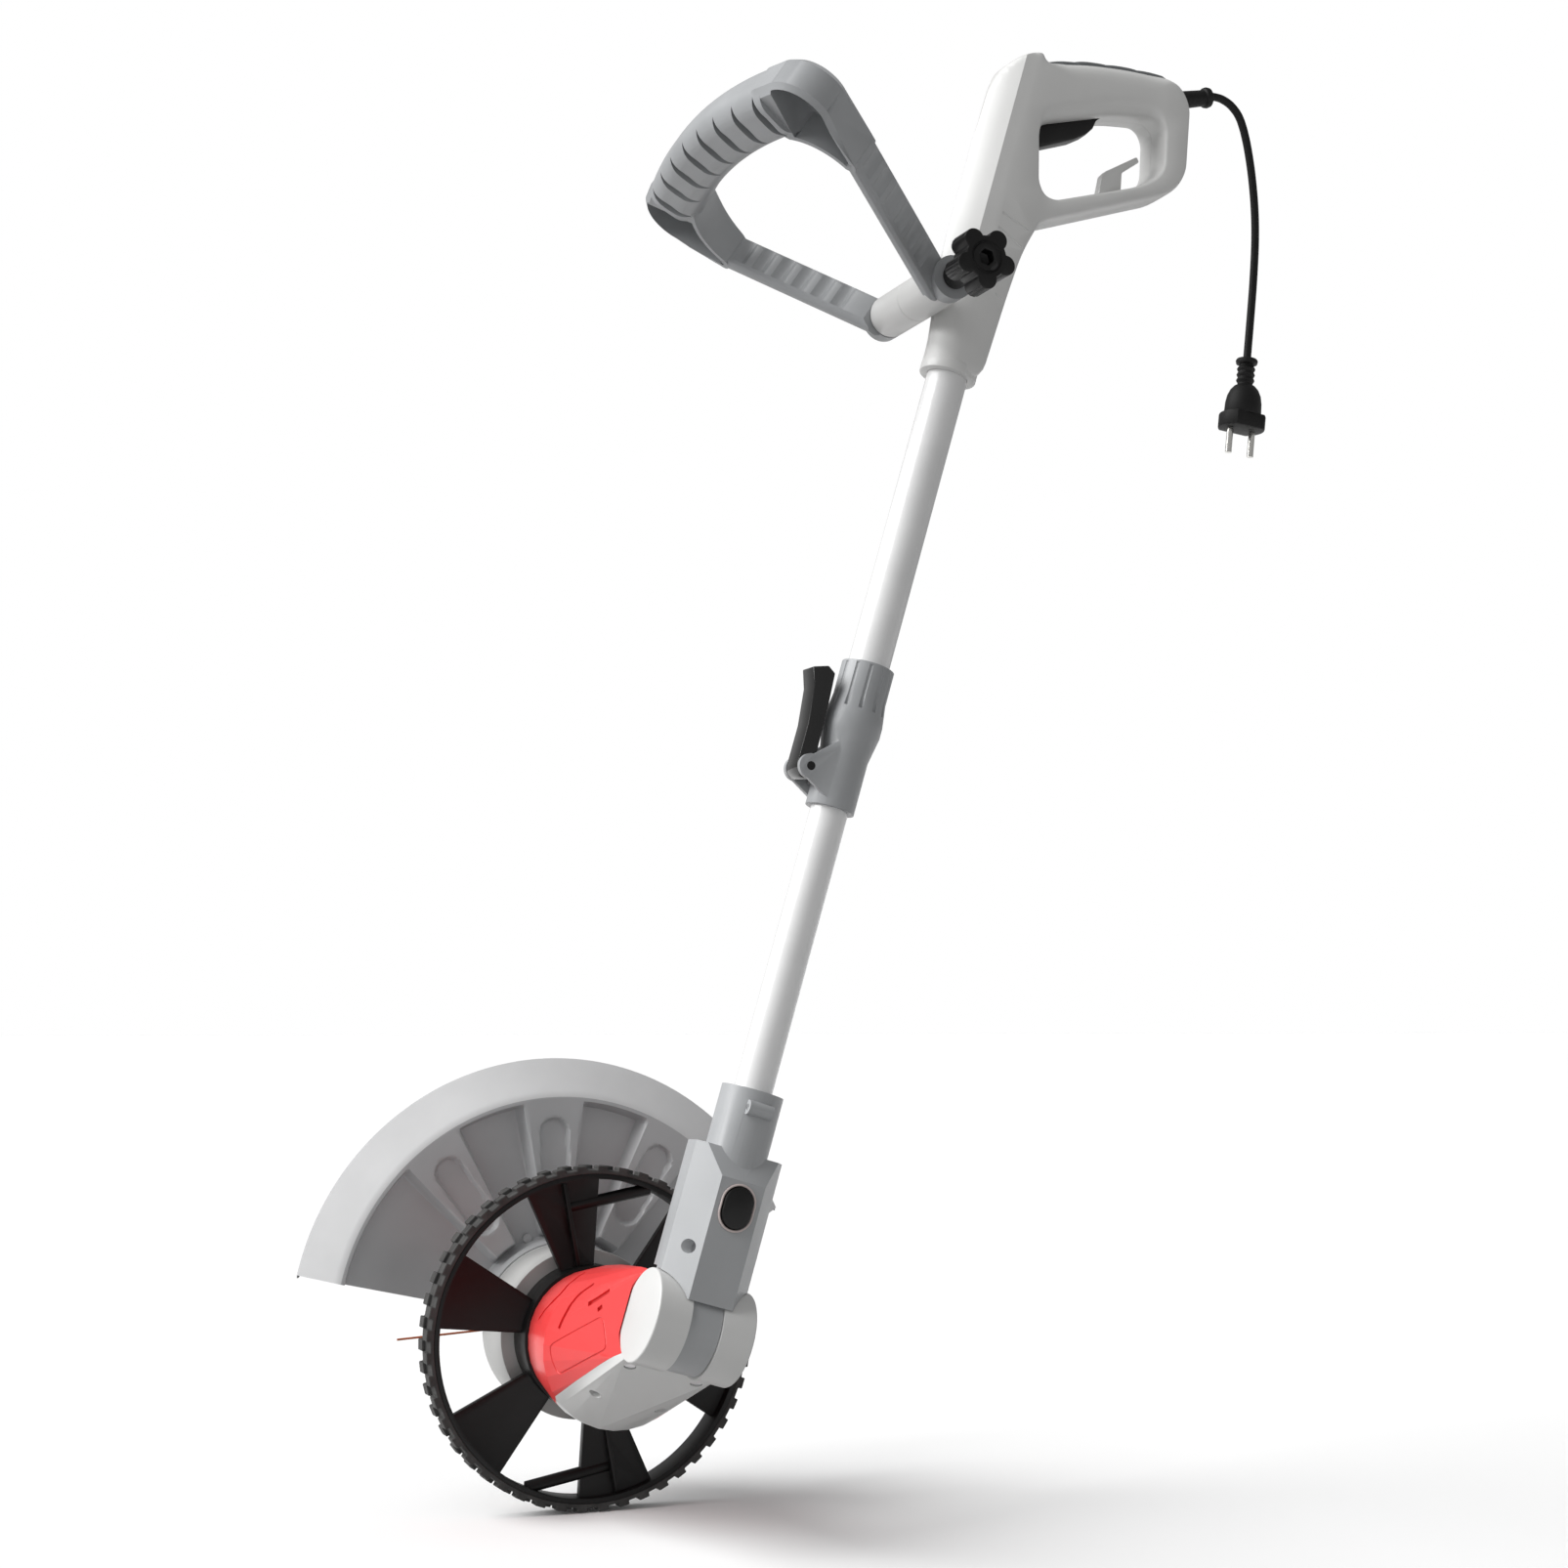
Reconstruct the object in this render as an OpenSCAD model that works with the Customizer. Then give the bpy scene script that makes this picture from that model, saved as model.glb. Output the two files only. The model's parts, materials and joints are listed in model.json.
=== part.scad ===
// Wheeled string trimmer: a mains-electric grass trimmer with a telescopic tube, a tilting motor head,
// an edging wheel round the motor, a spray guard, a swinging front loop handle and a closed rear grip.
// The tool frame has its origin at the tilt hinge: x across the tube, y to the cutting side, z up the tube.
$fn = 64;

/* [Pose] */
// Lean of the tube from upright, in degrees
lean = 16.4; // [0:0.2:30]

/* [Fits] */
// Radial gap of running and sliding fits
run_gap = 0.06; // [0.03:0.01:0.09]
// Gap between pieces that move past each other
move_gap = 0.5; // [0.4:0.05:0.7]
// Gap between pieces that are seated together
seat_gap = 0.1; // [0.05:0.05:0.2]

/* [Tubes] */
// Outer radius of the sliding lower tube
lower_tube_r = 13.3; // [12:0.1:14]
// Wall of the lower tube
lower_tube_wall = 1.2; // [0.8:0.1:2]
// Wall of the upper tube
upper_tube_wall = 1.4; // [1:0.1:2]
// Height of the lower tube's foot above the hinge
lower_tube_z = 60; // [56:1:66]
// Length of the lower tube
lower_tube_len = 476; // [460:2:500]
// Length of the upper tube
upper_tube_len = 346; // [330:2:360]

/* [Tube clamp] */
// Height of the clamp's foot above the hinge
clamp_z = 363; // [356:1:368]
// Height of the clamp's lower half
clamp_low_h = 57; // [52:1:60]
// Height of the clamp's collar
clamp_collar_h = 48; // [40:1:56]
// Wall of the clamp
clamp_wall = 4; // [3:0.25:5]
// Distance of the lever's pin from the tube's axis
lever_pin_x = 27; // [26:0.5:29]
// Height of the lever's pin above the clamp's foot
lever_pin_up = 22; // [20:1:25]
// Radius of the lever's pin
lever_pin_r = 3; // [2.5:0.25:3.5]
// Radius of the lever's cam
cam_r = 8.6; // [8:0.1:9]
// Width of the lever
lever_w = 20; // [17:0.5:23]
// Length of the lever above its pin
lever_len = 72; // [60:1:80]
// Thickness of the lever
lever_t = 10; // [8:0.5:11]

/* [Yoke] */
// Half width of the yoke's front face
yoke_front_w = 16; // [15:0.5:18]
// Half width of the yoke where it is widest
yoke_side_w = 32; // [28:0.5:34]
// Half width of the yoke's back face
yoke_back_w = 29; // [26:0.5:31]
// Depth of the yoke in front of the tube's axis
yoke_front_d = 28; // [26:0.5:31]
// Depth of the yoke behind the tube's axis
yoke_back_d = 18; // [16:0.5:20]
// Height of the yoke's shoulder above the hinge
yoke_top = 120; // [114:1:126]
// Radius of the yoke's collar
yoke_collar_r = 21.5; // [19:0.25:23]
// Height of the yoke's collar above the shoulder
yoke_collar_h = 42; // [34:1:50]
// Radius of the yoke's hinge ring
ring_r = 30.5; // [28:0.25:31]
// Width of the yoke's hinge ring
ring_w = 22; // [18:0.5:24]
// Width of the tilt button
button_w = 21; // [17:0.5:23]
// Height of the tilt button
button_h = 28; // [25:0.5:31]
// Thickness of the tilt button
button_t = 7.5; // [6:0.5:8]
// Height of the tilt button's centre above the hinge
button_z = 83; // [80:1:86]
// Travel of the tilt button
button_travel = 4; // [2:0.5:5]

/* [Motor head] */
// Distance from the hinge to the wheel's middle plane
head_len = 192; // [186:1:198]
// Height of the hinge above the motor's axis
hinge_rise = 28; // [25:1:31]
// Radius of the hinge caps
cap_r = 32; // [31.5:0.25:33]
// Half length of the hinge barrel
barrel_half = 35.5; // [33:0.5:38]
// Radius of the hinge pin
hinge_pin_r = 6; // [5:0.25:7]
// Radius of the motor housing where it is widest
housing_r = 57; // [55:0.5:59]
// Radius of the motor housing where it meets the wheel
housing_end_r = 50; // [48.5:0.5:51.5]
// Wall of the motor housing
housing_wall = 3.5; // [3:0.1:4]
// Slope of the parting between cover and shell, in degrees
part_slope = 23.5; // [18:0.5:28]
// Radius of the wheel's journal on the motor pot
journal_r = 44.5; // [43:0.25:45.5]
// Wall of the wheel's journal
journal_wall = 3; // [2.5:0.1:3.5]
// Radius of the motor pot behind the wheel
pot_r = 62; // [58:0.5:66]
// Length of the motor pot behind the wheel
pot_len = 58; // [54:0.5:59]
// Wall of the motor pot
pot_wall = 3; // [2.4:0.1:3.6]
// Radius of the motor's shaft
shaft_r = 4; // [3:0.25:5]

/* [Edging wheel] */
// Outer radius of the tyre
wheel_r = 124; // [116:1:132]
// Width of the tyre
wheel_w = 24; // [20:1:27]
// Depth of the tyre's tread
tread_d = 3; // [2:0.25:4]
// Thickness of the tyre under its tread
tyre_t = 3; // [2.5:0.25:4]
// Thickness of the wheel's rim
rim_t = 3.5; // [3:0.5:6]
// Thickness of the wheel's hub
hub_t = 7.5; // [6:0.5:9]
// Half length of the wheel's hub
hub_half = 14; // [13:0.5:15]
// Thickness of the wheel's blades
blade_t = 6; // [4:0.5:8]
// Blades that join the hub and the rim
blade_count = 6; // [4:1:8]
// Angle across each blade, in degrees
blade_angle = 28; // [20:1:34]
// Tread blocks in each of the tyre's two rows
tread_count = 48; // [36:1:60]

/* [Guard] */
// Outer radius of the guard
guard_r = 201; // [192:1:210]
// Angle at which the guard starts, in degrees
guard_start = 40.5; // [36:0.5:46]
// Angle that the guard spans, in degrees
guard_span = 143.5; // [134:0.5:148]
// Distance from the wheel's middle plane to the guard's rim
guard_y = 89; // [87:0.5:91]
// Thickness of the guard's walls
guard_t = 2.6; // [2:0.1:3]
// Radial width of the guard's sloping skirt
skirt_w = 29; // [25:1:33]
// Depth of the guard's sloping skirt
skirt_d = 20; // [17:0.5:22]
// Depth of the guard's sunken panels
panel_d = 14; // [11:0.5:16]
// Raised bands across the guard
band_count = 3; // [2:1:3]
// Angle across each raised band, in degrees
band_angle = 18; // [14:1:20]
// Angle of the first raised band, in degrees
band_first = 74; // [66:1:78]
// Angle from one raised band to the next, in degrees
band_step = 34.5; // [24:0.5:36]

/* [Cutting head] */
// Radius of the spool's housing
spool_r = 44; // [41:0.5:48]
// Height of the spool's housing
spool_h = 32; // [30:0.5:36]
// Wall of the spool's housing
spool_wall = 3; // [2.4:0.1:3.6]
// Radius of the bump knob
bump_r = 18; // [15:0.5:20]
// Travel of the bump knob
bump_travel = 4; // [3:0.5:5]
// Radius of the cutting line
line_r = 0.8; // [0.6:0.1:1.2]
// Reach of the cutting line from the motor's axis
line_reach = 120; // [105:1:130]

/* [Rear handle] */
// Width of the handle from its front to the closed grip's end
handle_w = 168; // [160:1:176]
// Height of the handle along the tube
handle_h = 283; // [276:1:290]
// Length of the upper tube inside the handle
tube_in_handle = 76; // [70:1:82]
// Distance from the tube's axis to the handle's front
handle_front = 31; // [28:0.5:33]
// Half thickness of the handle
handle_half = 20; // [18.5:0.5:22]
// Wall of the handle's shells
handle_wall = 3.5; // [3:0.1:4]
// Radius of the handle's round foot
foot_r = 20.5; // [20.25:0.25:24]
// Height of the handle's round foot
foot_h = 34; // [28:1:40]
// Width of the trigger
trigger_w = 15; // [12:0.5:18]
// Travel of the trigger
trigger_travel = 5; // [3:0.5:6]

/* [Front handle] */
// Distance from the tube's axis to the front handle's pivot
pivot_x = 38; // [36:0.5:42]
// Height of the front handle's pivot above the handle's foot
pivot_up = 46; // [42:1:52]
// Radius of the pivot boss
boss_r = 15.5; // [14:0.25:17]
// Half length of the pivot boss
boss_half = 48; // [45:1:51]
// Thickness of the front handle's eyes
eye_t = 12; // [10:0.5:14]
// Rise of the front handle from square to the tube, in degrees
loop_rise = 17.5; // [10:0.5:25]
// Reach of the front handle from its pivot to the middle of its grip
loop_reach = 181; // [172:1:190]
// Angle by which each arm of the front handle leans out, in degrees
arm_flare = 33; // [29:0.5:36]
// Reach of each arm's straight stretch along the front handle
arm_reach = 112; // [106:1:118]
// Thickness of the front handle's arms
arm_w = 9; // [8:0.5:11]
// Depth of the front handle's arms
arm_d = 26; // [23:0.5:28]
// Finger scoops along each side of an arm
scoop_count = 6; // [3:1:6]
// Radius of the hollow shoulder between arm and grip
shoulder_r = 28; // [25:0.5:31]
// Depth of the hollow shoulder
shoulder_d = 30; // [28:0.5:34]
// Width of the front grip
front_grip_w = 42; // [36:0.5:46]
// Depth of the front grip
front_grip_d = 38; // [34:0.5:40]
// Radius of the front grip's bow
bow_r = 480; // [420:10:540]
// Pockets under the front grip
pocket_count = 8; // [4:2:8]
// Width of each pocket under the front grip
pocket_w = 8; // [6:0.5:9]
// Radius of the pivot bolt
bolt_r = 4; // [3:0.25:5]
// Radius of the star knob's core
knob_r = 15; // [13:0.5:17]
// Lobes round the star knob
knob_lobes = 5; // [5:1:8]

/* [Mains lead] */
// Diameter of the mains lead
cord_d = 6; // [5:0.25:7]
// Width of the plug's flange
plug_w = 35; // [32:0.5:37]
// Thickness of the plug's flange
plug_t = 26; // [22:0.5:28]
// Length of the plug's body
plug_len = 56; // [48:1:60]
// Radius of the plug's pins
plug_pin_r = 2.4; // [2:0.1:2.5]
// Distance between the plug's pins
plug_pin_gap = 19; // [18:0.5:20]
// Length of the plug's pins
plug_pin_len = 19; // [17:0.5:20]

/* [Hidden] */

// Overrun of every cut
cut = 1;
// Half of a width, share of the whole
half_share = 0.5;
// Points of the rear handle's outline, as shares of its width and height
handle_outline_shares = [
    [0.054, 0], [0.3, 0], [0.317, 0.24], [0.333, 0.37], [0.37, 0.455], [0.41, 0.482], [0.92, 0.686],
    [0.967, 0.718], [0.99, 0.767], [0.93, 0.943], [0.875, 0.982], [0.79, 1], [0.6, 0.975], [0.38, 0.933],
    [0.21, 0.884], [0.178, 0.907], [0.115, 0.888], [0.045, 0.846], [0.018, 0.79], [0, 0.576],
    [0.012, 0.3], [0.048, 0.085]];
// Points of the rear handle's window, as shares of its width and height
window_outline_shares = [
    [0.25, 0.722], [0.322, 0.566], [0.362, 0.541], [0.415, 0.543], [0.788, 0.68], [0.871, 0.738],
    [0.823, 0.858], [0.763, 0.874], [0.592, 0.838]];
// Middle of the closed grip, as shares of the rear handle's width and height
grip_shares = [0.545, 0.9];
// Ends of the soft inlay along the grip, as shares of the rear handle's width
inlay_shares = [0.225, 0.79];
// Points of the trigger, as shares of the rear handle's width and height
trigger_shares = [
    [0.262, 0.742], [0.287, 0.67], [0.45, 0.736], [0.5, 0.764], [0.526, 0.79], [0.536, 0.83],
    [0.536, 0.864], [0.32, 0.815]];
// Points of the cord hook, as shares of the rear handle's width and height
hook_shares = [
    [0.64, 0.6], [0.632, 0.685], [0.645, 0.7], [0.772, 0.775], [0.79, 0.764], [0.722, 0.715],
    [0.745, 0.65]];
// Foot of the strain relief, as shares of the rear handle's width and height
relief_shares = [0.905, 0.982];
// Points of the clamp lever, as shares of its thickness and length
lever_shares = [
    [0.35, 0], [0.25, 0.6], [0.1, 0.95], [-0.5, 1], [-1.6, 0.94], [-1.15, 0.76], [-0.86, 0.4], [-0.86, 0]];
// Places of the handle's screws, as shares of the rear handle's width and height
screw_shares = [[0.13, 0.5], [0.31, 0.5], [0.13, 0.8], [0.92, 0.76]];
// Route of the mains lead from the strain relief to the plug, from the middle of the grip
cord_route = [
    [94, 0, 12.4], [97, 0, 12.5], [101.7, 0, 12.1], [106.2, 0, 10.7], [110.3, 0, 8.6], [114, 0, 5.6],
    [117.1, 0, 2.1], [119.5, 0, -2], [121.3, 0, -6.5], [123.3, 0, -13], [126, 0, -25], [129, 0, -45],
    [131, 0, -70], [131, 0, -95], [129, 0, -124], [126, 0, -153], [122, 0, -188]];
// Sides of the mains lead's section
cord_sides = 10;

// Tubes and clamp
upper_bore_r = lower_tube_r + run_gap;
upper_tube_r = upper_bore_r + upper_tube_wall;
upper_tube_z = clamp_z + clamp_low_h;
clamp_top = upper_tube_z + clamp_collar_h;
clamp_low_r = lower_tube_r + clamp_wall;
clamp_collar_r = upper_tube_r + clamp_wall;
clamp_shoulder_r = clamp_collar_r + clamp_wall * half_share;
lever_pin_z = clamp_z + lever_pin_up;
cheek_t = clamp_wall;
cheek_r = cam_r;
shoe_half = 8;
shoe_gap = 0.3;
shoe_r = lower_tube_r + shoe_gap;
shoe_reach = lever_pin_x - cam_r - move_gap;
flute_count = 12;
flute_r = 1.5;
flute_share = 0.7;

// Yoke
ring_half = ring_w * half_share;
yoke_side_d = 6;
yoke_foot_z = 18;
yoke_back_z = 34;
yoke_back_clear = 8;
yoke_brow_h = 19;
yoke_brow_angle = 53;
yoke_screw_r = 2;
yoke_screw_head_r = 4.6;
yoke_screw_head_t = 3;
yoke_screw_y = 19;
yoke_screw_z = 51;
yoke_screw_half = 15;
boss_screw_r = 5;
boss_screw_half = 9;
boss_screw_share = 0.7;
boss_screw_z = yoke_top + yoke_collar_h * boss_screw_share;
bezel_w = 1.6;
bezel_t = 1.4;
button_pop = 3;
pocket_d = button_t - button_pop + button_travel + move_gap;

// Motor head
wheel_clear = hub_half + move_gap;
housing_widest = 60;
housing_widest_len = 15;
neck_y = 12;
neck_len = 18;
neck_half_h = 30;
neck_inset = 2.5;
neck_half_w = barrel_half - neck_inset;
cap_floor = 3;
neck_wall_y = 40;
part_y = 0;
part_z = -20;
socket_len = 36;
stator_t = 15;
stator_half = 20;
stator_mid = -12;
bridge_t = 8;
bearing_r = 11;
bearing_t = 7;
pot_floor_share = 0.55;
pot_floor_y = wheel_clear + pot_len * pot_floor_share;
pot_end = wheel_clear + pot_len;
pot_taper = 8;
rotor_gap = 1;
rotor_r = journal_r - journal_wall - seat_gap - stator_t - rotor_gap;
fan_hub_r = 10;
fan_t = 12;
fan_blade_t = 2;
fan_count = 7;
housing_screw_r = 2;
housing_screw_ys = [26, 84];
housing_screw_x = 24.5;
housing_screw_len = 16;
housing_screw_low = 3;
housing_screw_head_r = 3.6;
housing_screw_head_t = 1.6;
housing_bore_r = 4.2;
housing_boss_r = 6.5;
housing_boss_half = 90;

// Edging wheel
hub_r = journal_r + run_gap + hub_t;
tyre_in_r = wheel_r - tread_d - tyre_t;
rim_r = tyre_in_r - seat_gap;
tread_root = wheel_r - tread_d - cut;
tread_gap = 1.5;
brace_r = 4.5;
brace_at = 95;
brace_len = sqrt((rim_r - rim_t) ^ 2 - brace_at ^ 2) + cut;
brace_angles = [117, 297];
first_blade = 57;

// Guard
guard_in_r = pot_r + seat_gap;
guard_step_r = guard_r - skirt_w;
guard_top = guard_y - skirt_d;
guard_panel_y = guard_top + panel_d;
guard_collar_h = 22;
guard_collar_y = guard_panel_y + guard_t - guard_collar_h;
guard_wall_angle = 1;
guard_wall_in = 0.3;
guard_wall_inset = 0.4;
band_sink = 0.4;
band_gap = 8;
band_in_r = pot_r + band_gap;
band_recess_r = 11;
band_recess_len = 22;
band_recess_at = 112;
guard_screw_r = 3.5;
guard_screw_out = 7;
guard_screw_at = pot_r + guard_screw_out;
guard_screw_h = 3;
cutter_w = 14;
cutter_h = 10;
cutter_t = 1;

// Cutting head
spool_gap = 3.5;
spool_top = pot_end + spool_gap;
spool_end = spool_top + spool_h;
line_y = spool_top + spool_h * half_share;
reel_gap = 1;
reel_r = spool_r - spool_wall - reel_gap;
reel_flange_t = 2;
reel_core_t = 4;
reel_core_r = bump_r + reel_core_t;
reel_top = spool_top + spool_wall + seat_gap;
reel_end = spool_end - spool_wall - seat_gap;
bump_pop = 5;
bump_len = 14;
reel_floor = spool_end + bump_pop - bump_len - bump_travel - move_gap;
shaft_top = -52;
shaft_grip = 6;
shaft_end = reel_top + shaft_grip;
eyelet_r = 3;
line_angle = 20;

// Rear handle
socket_z = upper_tube_z + upper_tube_len;
handle_z = socket_z - tube_in_handle;
grip_x = grip_shares[0] * handle_w - handle_front;
grip_z = handle_z + grip_shares[1] * handle_h;
handle_edge = 4;
handle_round = 6;
handle_core = handle_half - handle_round;
corner_r = 5;
inlay_t = 4;
inlay_half = 11;
hook_half = 4;
trigger_half = trigger_w * half_share;
switch_w = 34;
switch_h = 10;
switch_up = -3;
switch_x = -14;
screw_r = 2;
screw_head_r = 3.6;
screw_len = 22;
nose_back = 9;
nose_swell = 0.4;

// Front handle
pivot_z = handle_z + pivot_up;
bolt_bore_r = bolt_r + run_gap;
eye_y = boss_half + move_gap;
eye_mid = eye_y + eye_t * half_share;
eye_r = boss_r;
arm_start = 0;
eye_clear = 5;
arm_in = 10.5;
arm_y = eye_mid - arm_in;
arm_end_y = arm_y + arm_reach * tan(arm_flare);
arm_len = (arm_reach - arm_start) / cos(arm_flare);
arm_round = 3;
arm_drop = 6;
scoop_from = 38;
scoop_step = 17;
scoop_r = 12;
scoop_d = 1.6;
scoop_foot = 5;
front_grip_round = 15;
loop_drop = 3;
bow_u = loop_reach - bow_r;
bow_end_in = 17;
bow_end_y = arm_end_y - bow_end_in;
bow_half_angle = asin(bow_end_y / bow_r);
bow_end_u = bow_u + bow_r * cos(bow_half_angle);
bow_lap = 0.5;
shoulder_back = 21;
shoulder_u = loop_reach - shoulder_back;
shoulder_edge = 5;
shoulder_wall = 3.5;
shoulder_floor = 8;
inner_r = 44;
inner_on = 3;
inner_u = arm_reach + inner_on;
inner_y = arm_end_y - arm_w * half_share / cos(arm_flare) - inner_r;
cell_back = 20;
cell_in = 26;
cell_turn = 35;
pocket_step = 27.4;
pocket_long = 36;
pocket_deep = 24;
pocket_arc_r = (pocket_long ^ 2 + pocket_w ^ 2) / (4 * pocket_w);
bolt_end = eye_y + eye_t;
bolt_head_r = 7;
bolt_head_t = 5;
knob_stem_r = 9;
knob_stem_len = 28;
knob_t = 22;
knob_lobe_r = 7;
knob_socket_r = 6;
knob_socket_d = 8;

// Mains lead
relief_angle = 29;
relief_len = 30;
relief_root = 5;
relief_r = 6.5;
relief_end_r = 5;
plug_top_r = 8;
plug_flange_t = 12;
plug_neck = 20;
plug_neck_r = 5.5;
plug_tilt = atan2(cord_route[len(cord_route) - 1][0] - cord_route[len(cord_route) - 2][0],
                  cord_route[len(cord_route) - 2][2] - cord_route[len(cord_route) - 1][2]);

// Places children of the tool frame in the row's frame, whose origin is the middle of the closed grip
module in_row() rotate([0, lean, 0]) translate([-grip_x, 0, -grip_z]) children();

// Places children in the motor's frame: z along the motor to the cutting side, from the wheel's middle plane
module at_motor() in_row() on_motor_axis() children();
module on_motor_axis() translate([0, head_len, -hinge_rise]) rotate([-90, 0, 0]) children();

// A disc along the motor's axis between two heights, in the tool frame
module motor_disc(r, from, to) on_motor_axis() translate([0, 0, from]) cylinder(r = r, h = to - from);

// A cylinder along the tool frame's x axis between two places
module along_x(r, from, to) translate([from, 0, 0]) rotate([0, 90, 0]) cylinder(r = r, h = to - from);

// A cylinder along the tool frame's y axis between two places
module along_y(r, from, to) translate([0, from, 0]) rotate([-90, 0, 0]) cylinder(r = r, h = to - from);

// An outline of x and z places drawn out along y between two places
module drawn_y(from, to) translate([0, to, 0]) rotate([90, 0, 0]) linear_extrude(to - from) children();

// A flat shape with two round ends, standing along y
module stadium(w, h) {
    straight = h - w;
    square([w, straight], center = true);
    for (side = [-1, 1]) translate([0, side * straight * half_share]) circle(w * half_share);
}

// A ring sector about the z axis, drawn from a section of radius and height
module sector(from_angle, angle) rotate([0, 0, -from_angle - angle])
    rotate_extrude(angle = angle) children();

// Points given as shares of the rear handle's width and height
function handle_points(shares) =
    [for (s = shares) [s[0] * handle_w - handle_front, handle_z + s[1] * handle_h]];

// Tubes
module lower_tube() color("whitesmoke") in_row() difference() {
    translate([0, 0, lower_tube_z]) cylinder(r = lower_tube_r, h = lower_tube_len);
    translate([0, 0, lower_tube_z - cut])
        cylinder(r = lower_tube_r - lower_tube_wall, h = lower_tube_len + 2 * cut);
}

module upper_tube() color("whitesmoke") in_row() difference() {
    translate([0, 0, upper_tube_z]) cylinder(r = upper_tube_r, h = upper_tube_len);
    translate([0, 0, upper_tube_z - cut]) cylinder(r = upper_bore_r, h = upper_tube_len + 2 * cut);
}

// Tube clamp
module cheek_outline() {
    translate([-lever_pin_x, lever_pin_z]) circle(cheek_r);
    polygon([[0, clamp_z], [-lever_pin_x, lever_pin_z - cheek_r], [-lever_pin_x, lever_pin_z + cheek_r],
             [0, upper_tube_z]]);
}

module shoe_box(gap) translate([-shoe_reach, -shoe_half - gap, lever_pin_z - shoe_half - gap])
    cube([shoe_reach, 2 * (shoe_half + gap), 2 * (shoe_half + gap)]);

module clamp_body() color("dimgray") in_row() difference() {
    cheek_y = lever_w * half_share + move_gap;
    union() {
        rotate_extrude() polygon([
            [0, clamp_z], [clamp_low_r, clamp_z], [clamp_low_r, upper_tube_z - clamp_low_h / 3],
            [clamp_shoulder_r, upper_tube_z], [clamp_shoulder_r, upper_tube_z + clamp_collar_h / 6],
            [clamp_collar_r, upper_tube_z + clamp_collar_h / 2], [clamp_collar_r, clamp_top],
            [0, clamp_top]]);
        for (side = [-1, 1]) translate([0, side * (cheek_y + cheek_t * half_share), 0])
            drawn_y(-cheek_t * half_share, cheek_t * half_share) cheek_outline();
    }
    translate([0, 0, clamp_z - cut]) cylinder(r = upper_bore_r, h = clamp_low_h + 2 * cut);
    translate([0, 0, upper_tube_z])
        cylinder(r = upper_tube_r + seat_gap, h = clamp_collar_h + cut);
    translate([-lever_pin_x, 0, lever_pin_z])
        along_y(lever_pin_r + seat_gap, -lever_w - cut, lever_w + cut);
    translate([-lever_pin_x, 0, lever_pin_z]) along_y(cam_r + move_gap, -cheek_y, cheek_y);
    translate([-shoe_reach - cut, -shoe_half - seat_gap, lever_pin_z - shoe_half - seat_gap])
        cube([shoe_reach + cut, 2 * (shoe_half + seat_gap), 2 * (shoe_half + seat_gap)]);
    for (i = [0 : flute_count - 1]) rotate([0, 0, (i + half_share) * 360 / flute_count])
        translate([clamp_collar_r + flute_r * half_share, 0, clamp_top - clamp_collar_h * flute_share])
            cylinder(r = flute_r, h = clamp_collar_h * flute_share - flute_r);
}

module clamp_pin() color("silver") in_row() translate([-lever_pin_x, 0, lever_pin_z]) {
    pin_half = lever_w * half_share + move_gap + cheek_t;
    along_y(lever_pin_r, -pin_half, pin_half);
}

module clamp_shoe() color("dimgray") in_row() difference() {
    shoe_box(0);
    translate([0, 0, lever_pin_z - 2 * shoe_half]) cylinder(r = shoe_r, h = 4 * shoe_half);
}

module clamp_lever() color("black") in_row() translate([-lever_pin_x, 0, lever_pin_z]) difference() {
    drawn_y(-lever_w * half_share, lever_w * half_share) {
        circle(cam_r);
        polygon([for (s = lever_shares) [s[0] * lever_t, s[1] * lever_len]]);
    }
    along_y(lever_pin_r + run_gap, -lever_w, lever_w);
}

// Yoke
module yoke_section() polygon([
    [-yoke_front_w, -yoke_front_d], [yoke_front_w, -yoke_front_d], [yoke_side_w, -yoke_side_d],
    [yoke_back_w, yoke_back_d], [-yoke_back_w, yoke_back_d], [-yoke_side_w, -yoke_side_d]]);

module yoke_solid() difference() {
    union() {
        difference() {
            translate([0, 0, yoke_foot_z]) linear_extrude(yoke_top - yoke_foot_z) yoke_section();
            translate([-2 * yoke_side_w, -yoke_front_d, yoke_top - yoke_brow_h])
                rotate([yoke_brow_angle, 0, 0]) translate([0, -2 * yoke_side_w, 0]) cube(4 * yoke_side_w);
            for (side = [-1, 1]) scale([side, 1, 1]) along_x(cap_r + move_gap, ring_half, 2 * yoke_side_w);
            translate([-2 * yoke_side_w, yoke_back_clear, 0])
                cube([4 * yoke_side_w, 2 * yoke_back_d, yoke_back_z]);
        }
        translate([0, 0, yoke_top - yoke_brow_h])
            cylinder(r = yoke_collar_r, h = yoke_collar_h + yoke_brow_h);
        translate([0, -yoke_collar_r, boss_screw_z]) along_x(boss_screw_r, -boss_screw_half, boss_screw_half);
        along_x(ring_r, -ring_half, ring_half);
    }
    translate([0, 0, lower_tube_z])
        cylinder(r = lower_tube_r + seat_gap, h = yoke_top + yoke_collar_h);
    along_x(hinge_pin_r + run_gap, -barrel_half, barrel_half);
    translate([0, -yoke_front_d + pocket_d, button_z]) rotate([90, 0, 0])
        linear_extrude(pocket_d + cut) stadium(button_w + 2 * move_gap, button_h + 2 * move_gap);
    translate([0, -yoke_collar_r, boss_screw_z])
        along_x(yoke_screw_r + seat_gap, -barrel_half, barrel_half);
    translate([0, -yoke_screw_y, yoke_screw_z]) {
        along_x(yoke_screw_r + seat_gap, -yoke_screw_half, yoke_screw_half);
        along_x(yoke_screw_head_r + seat_gap, -2 * yoke_side_w, -yoke_screw_half);
    }
}

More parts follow.
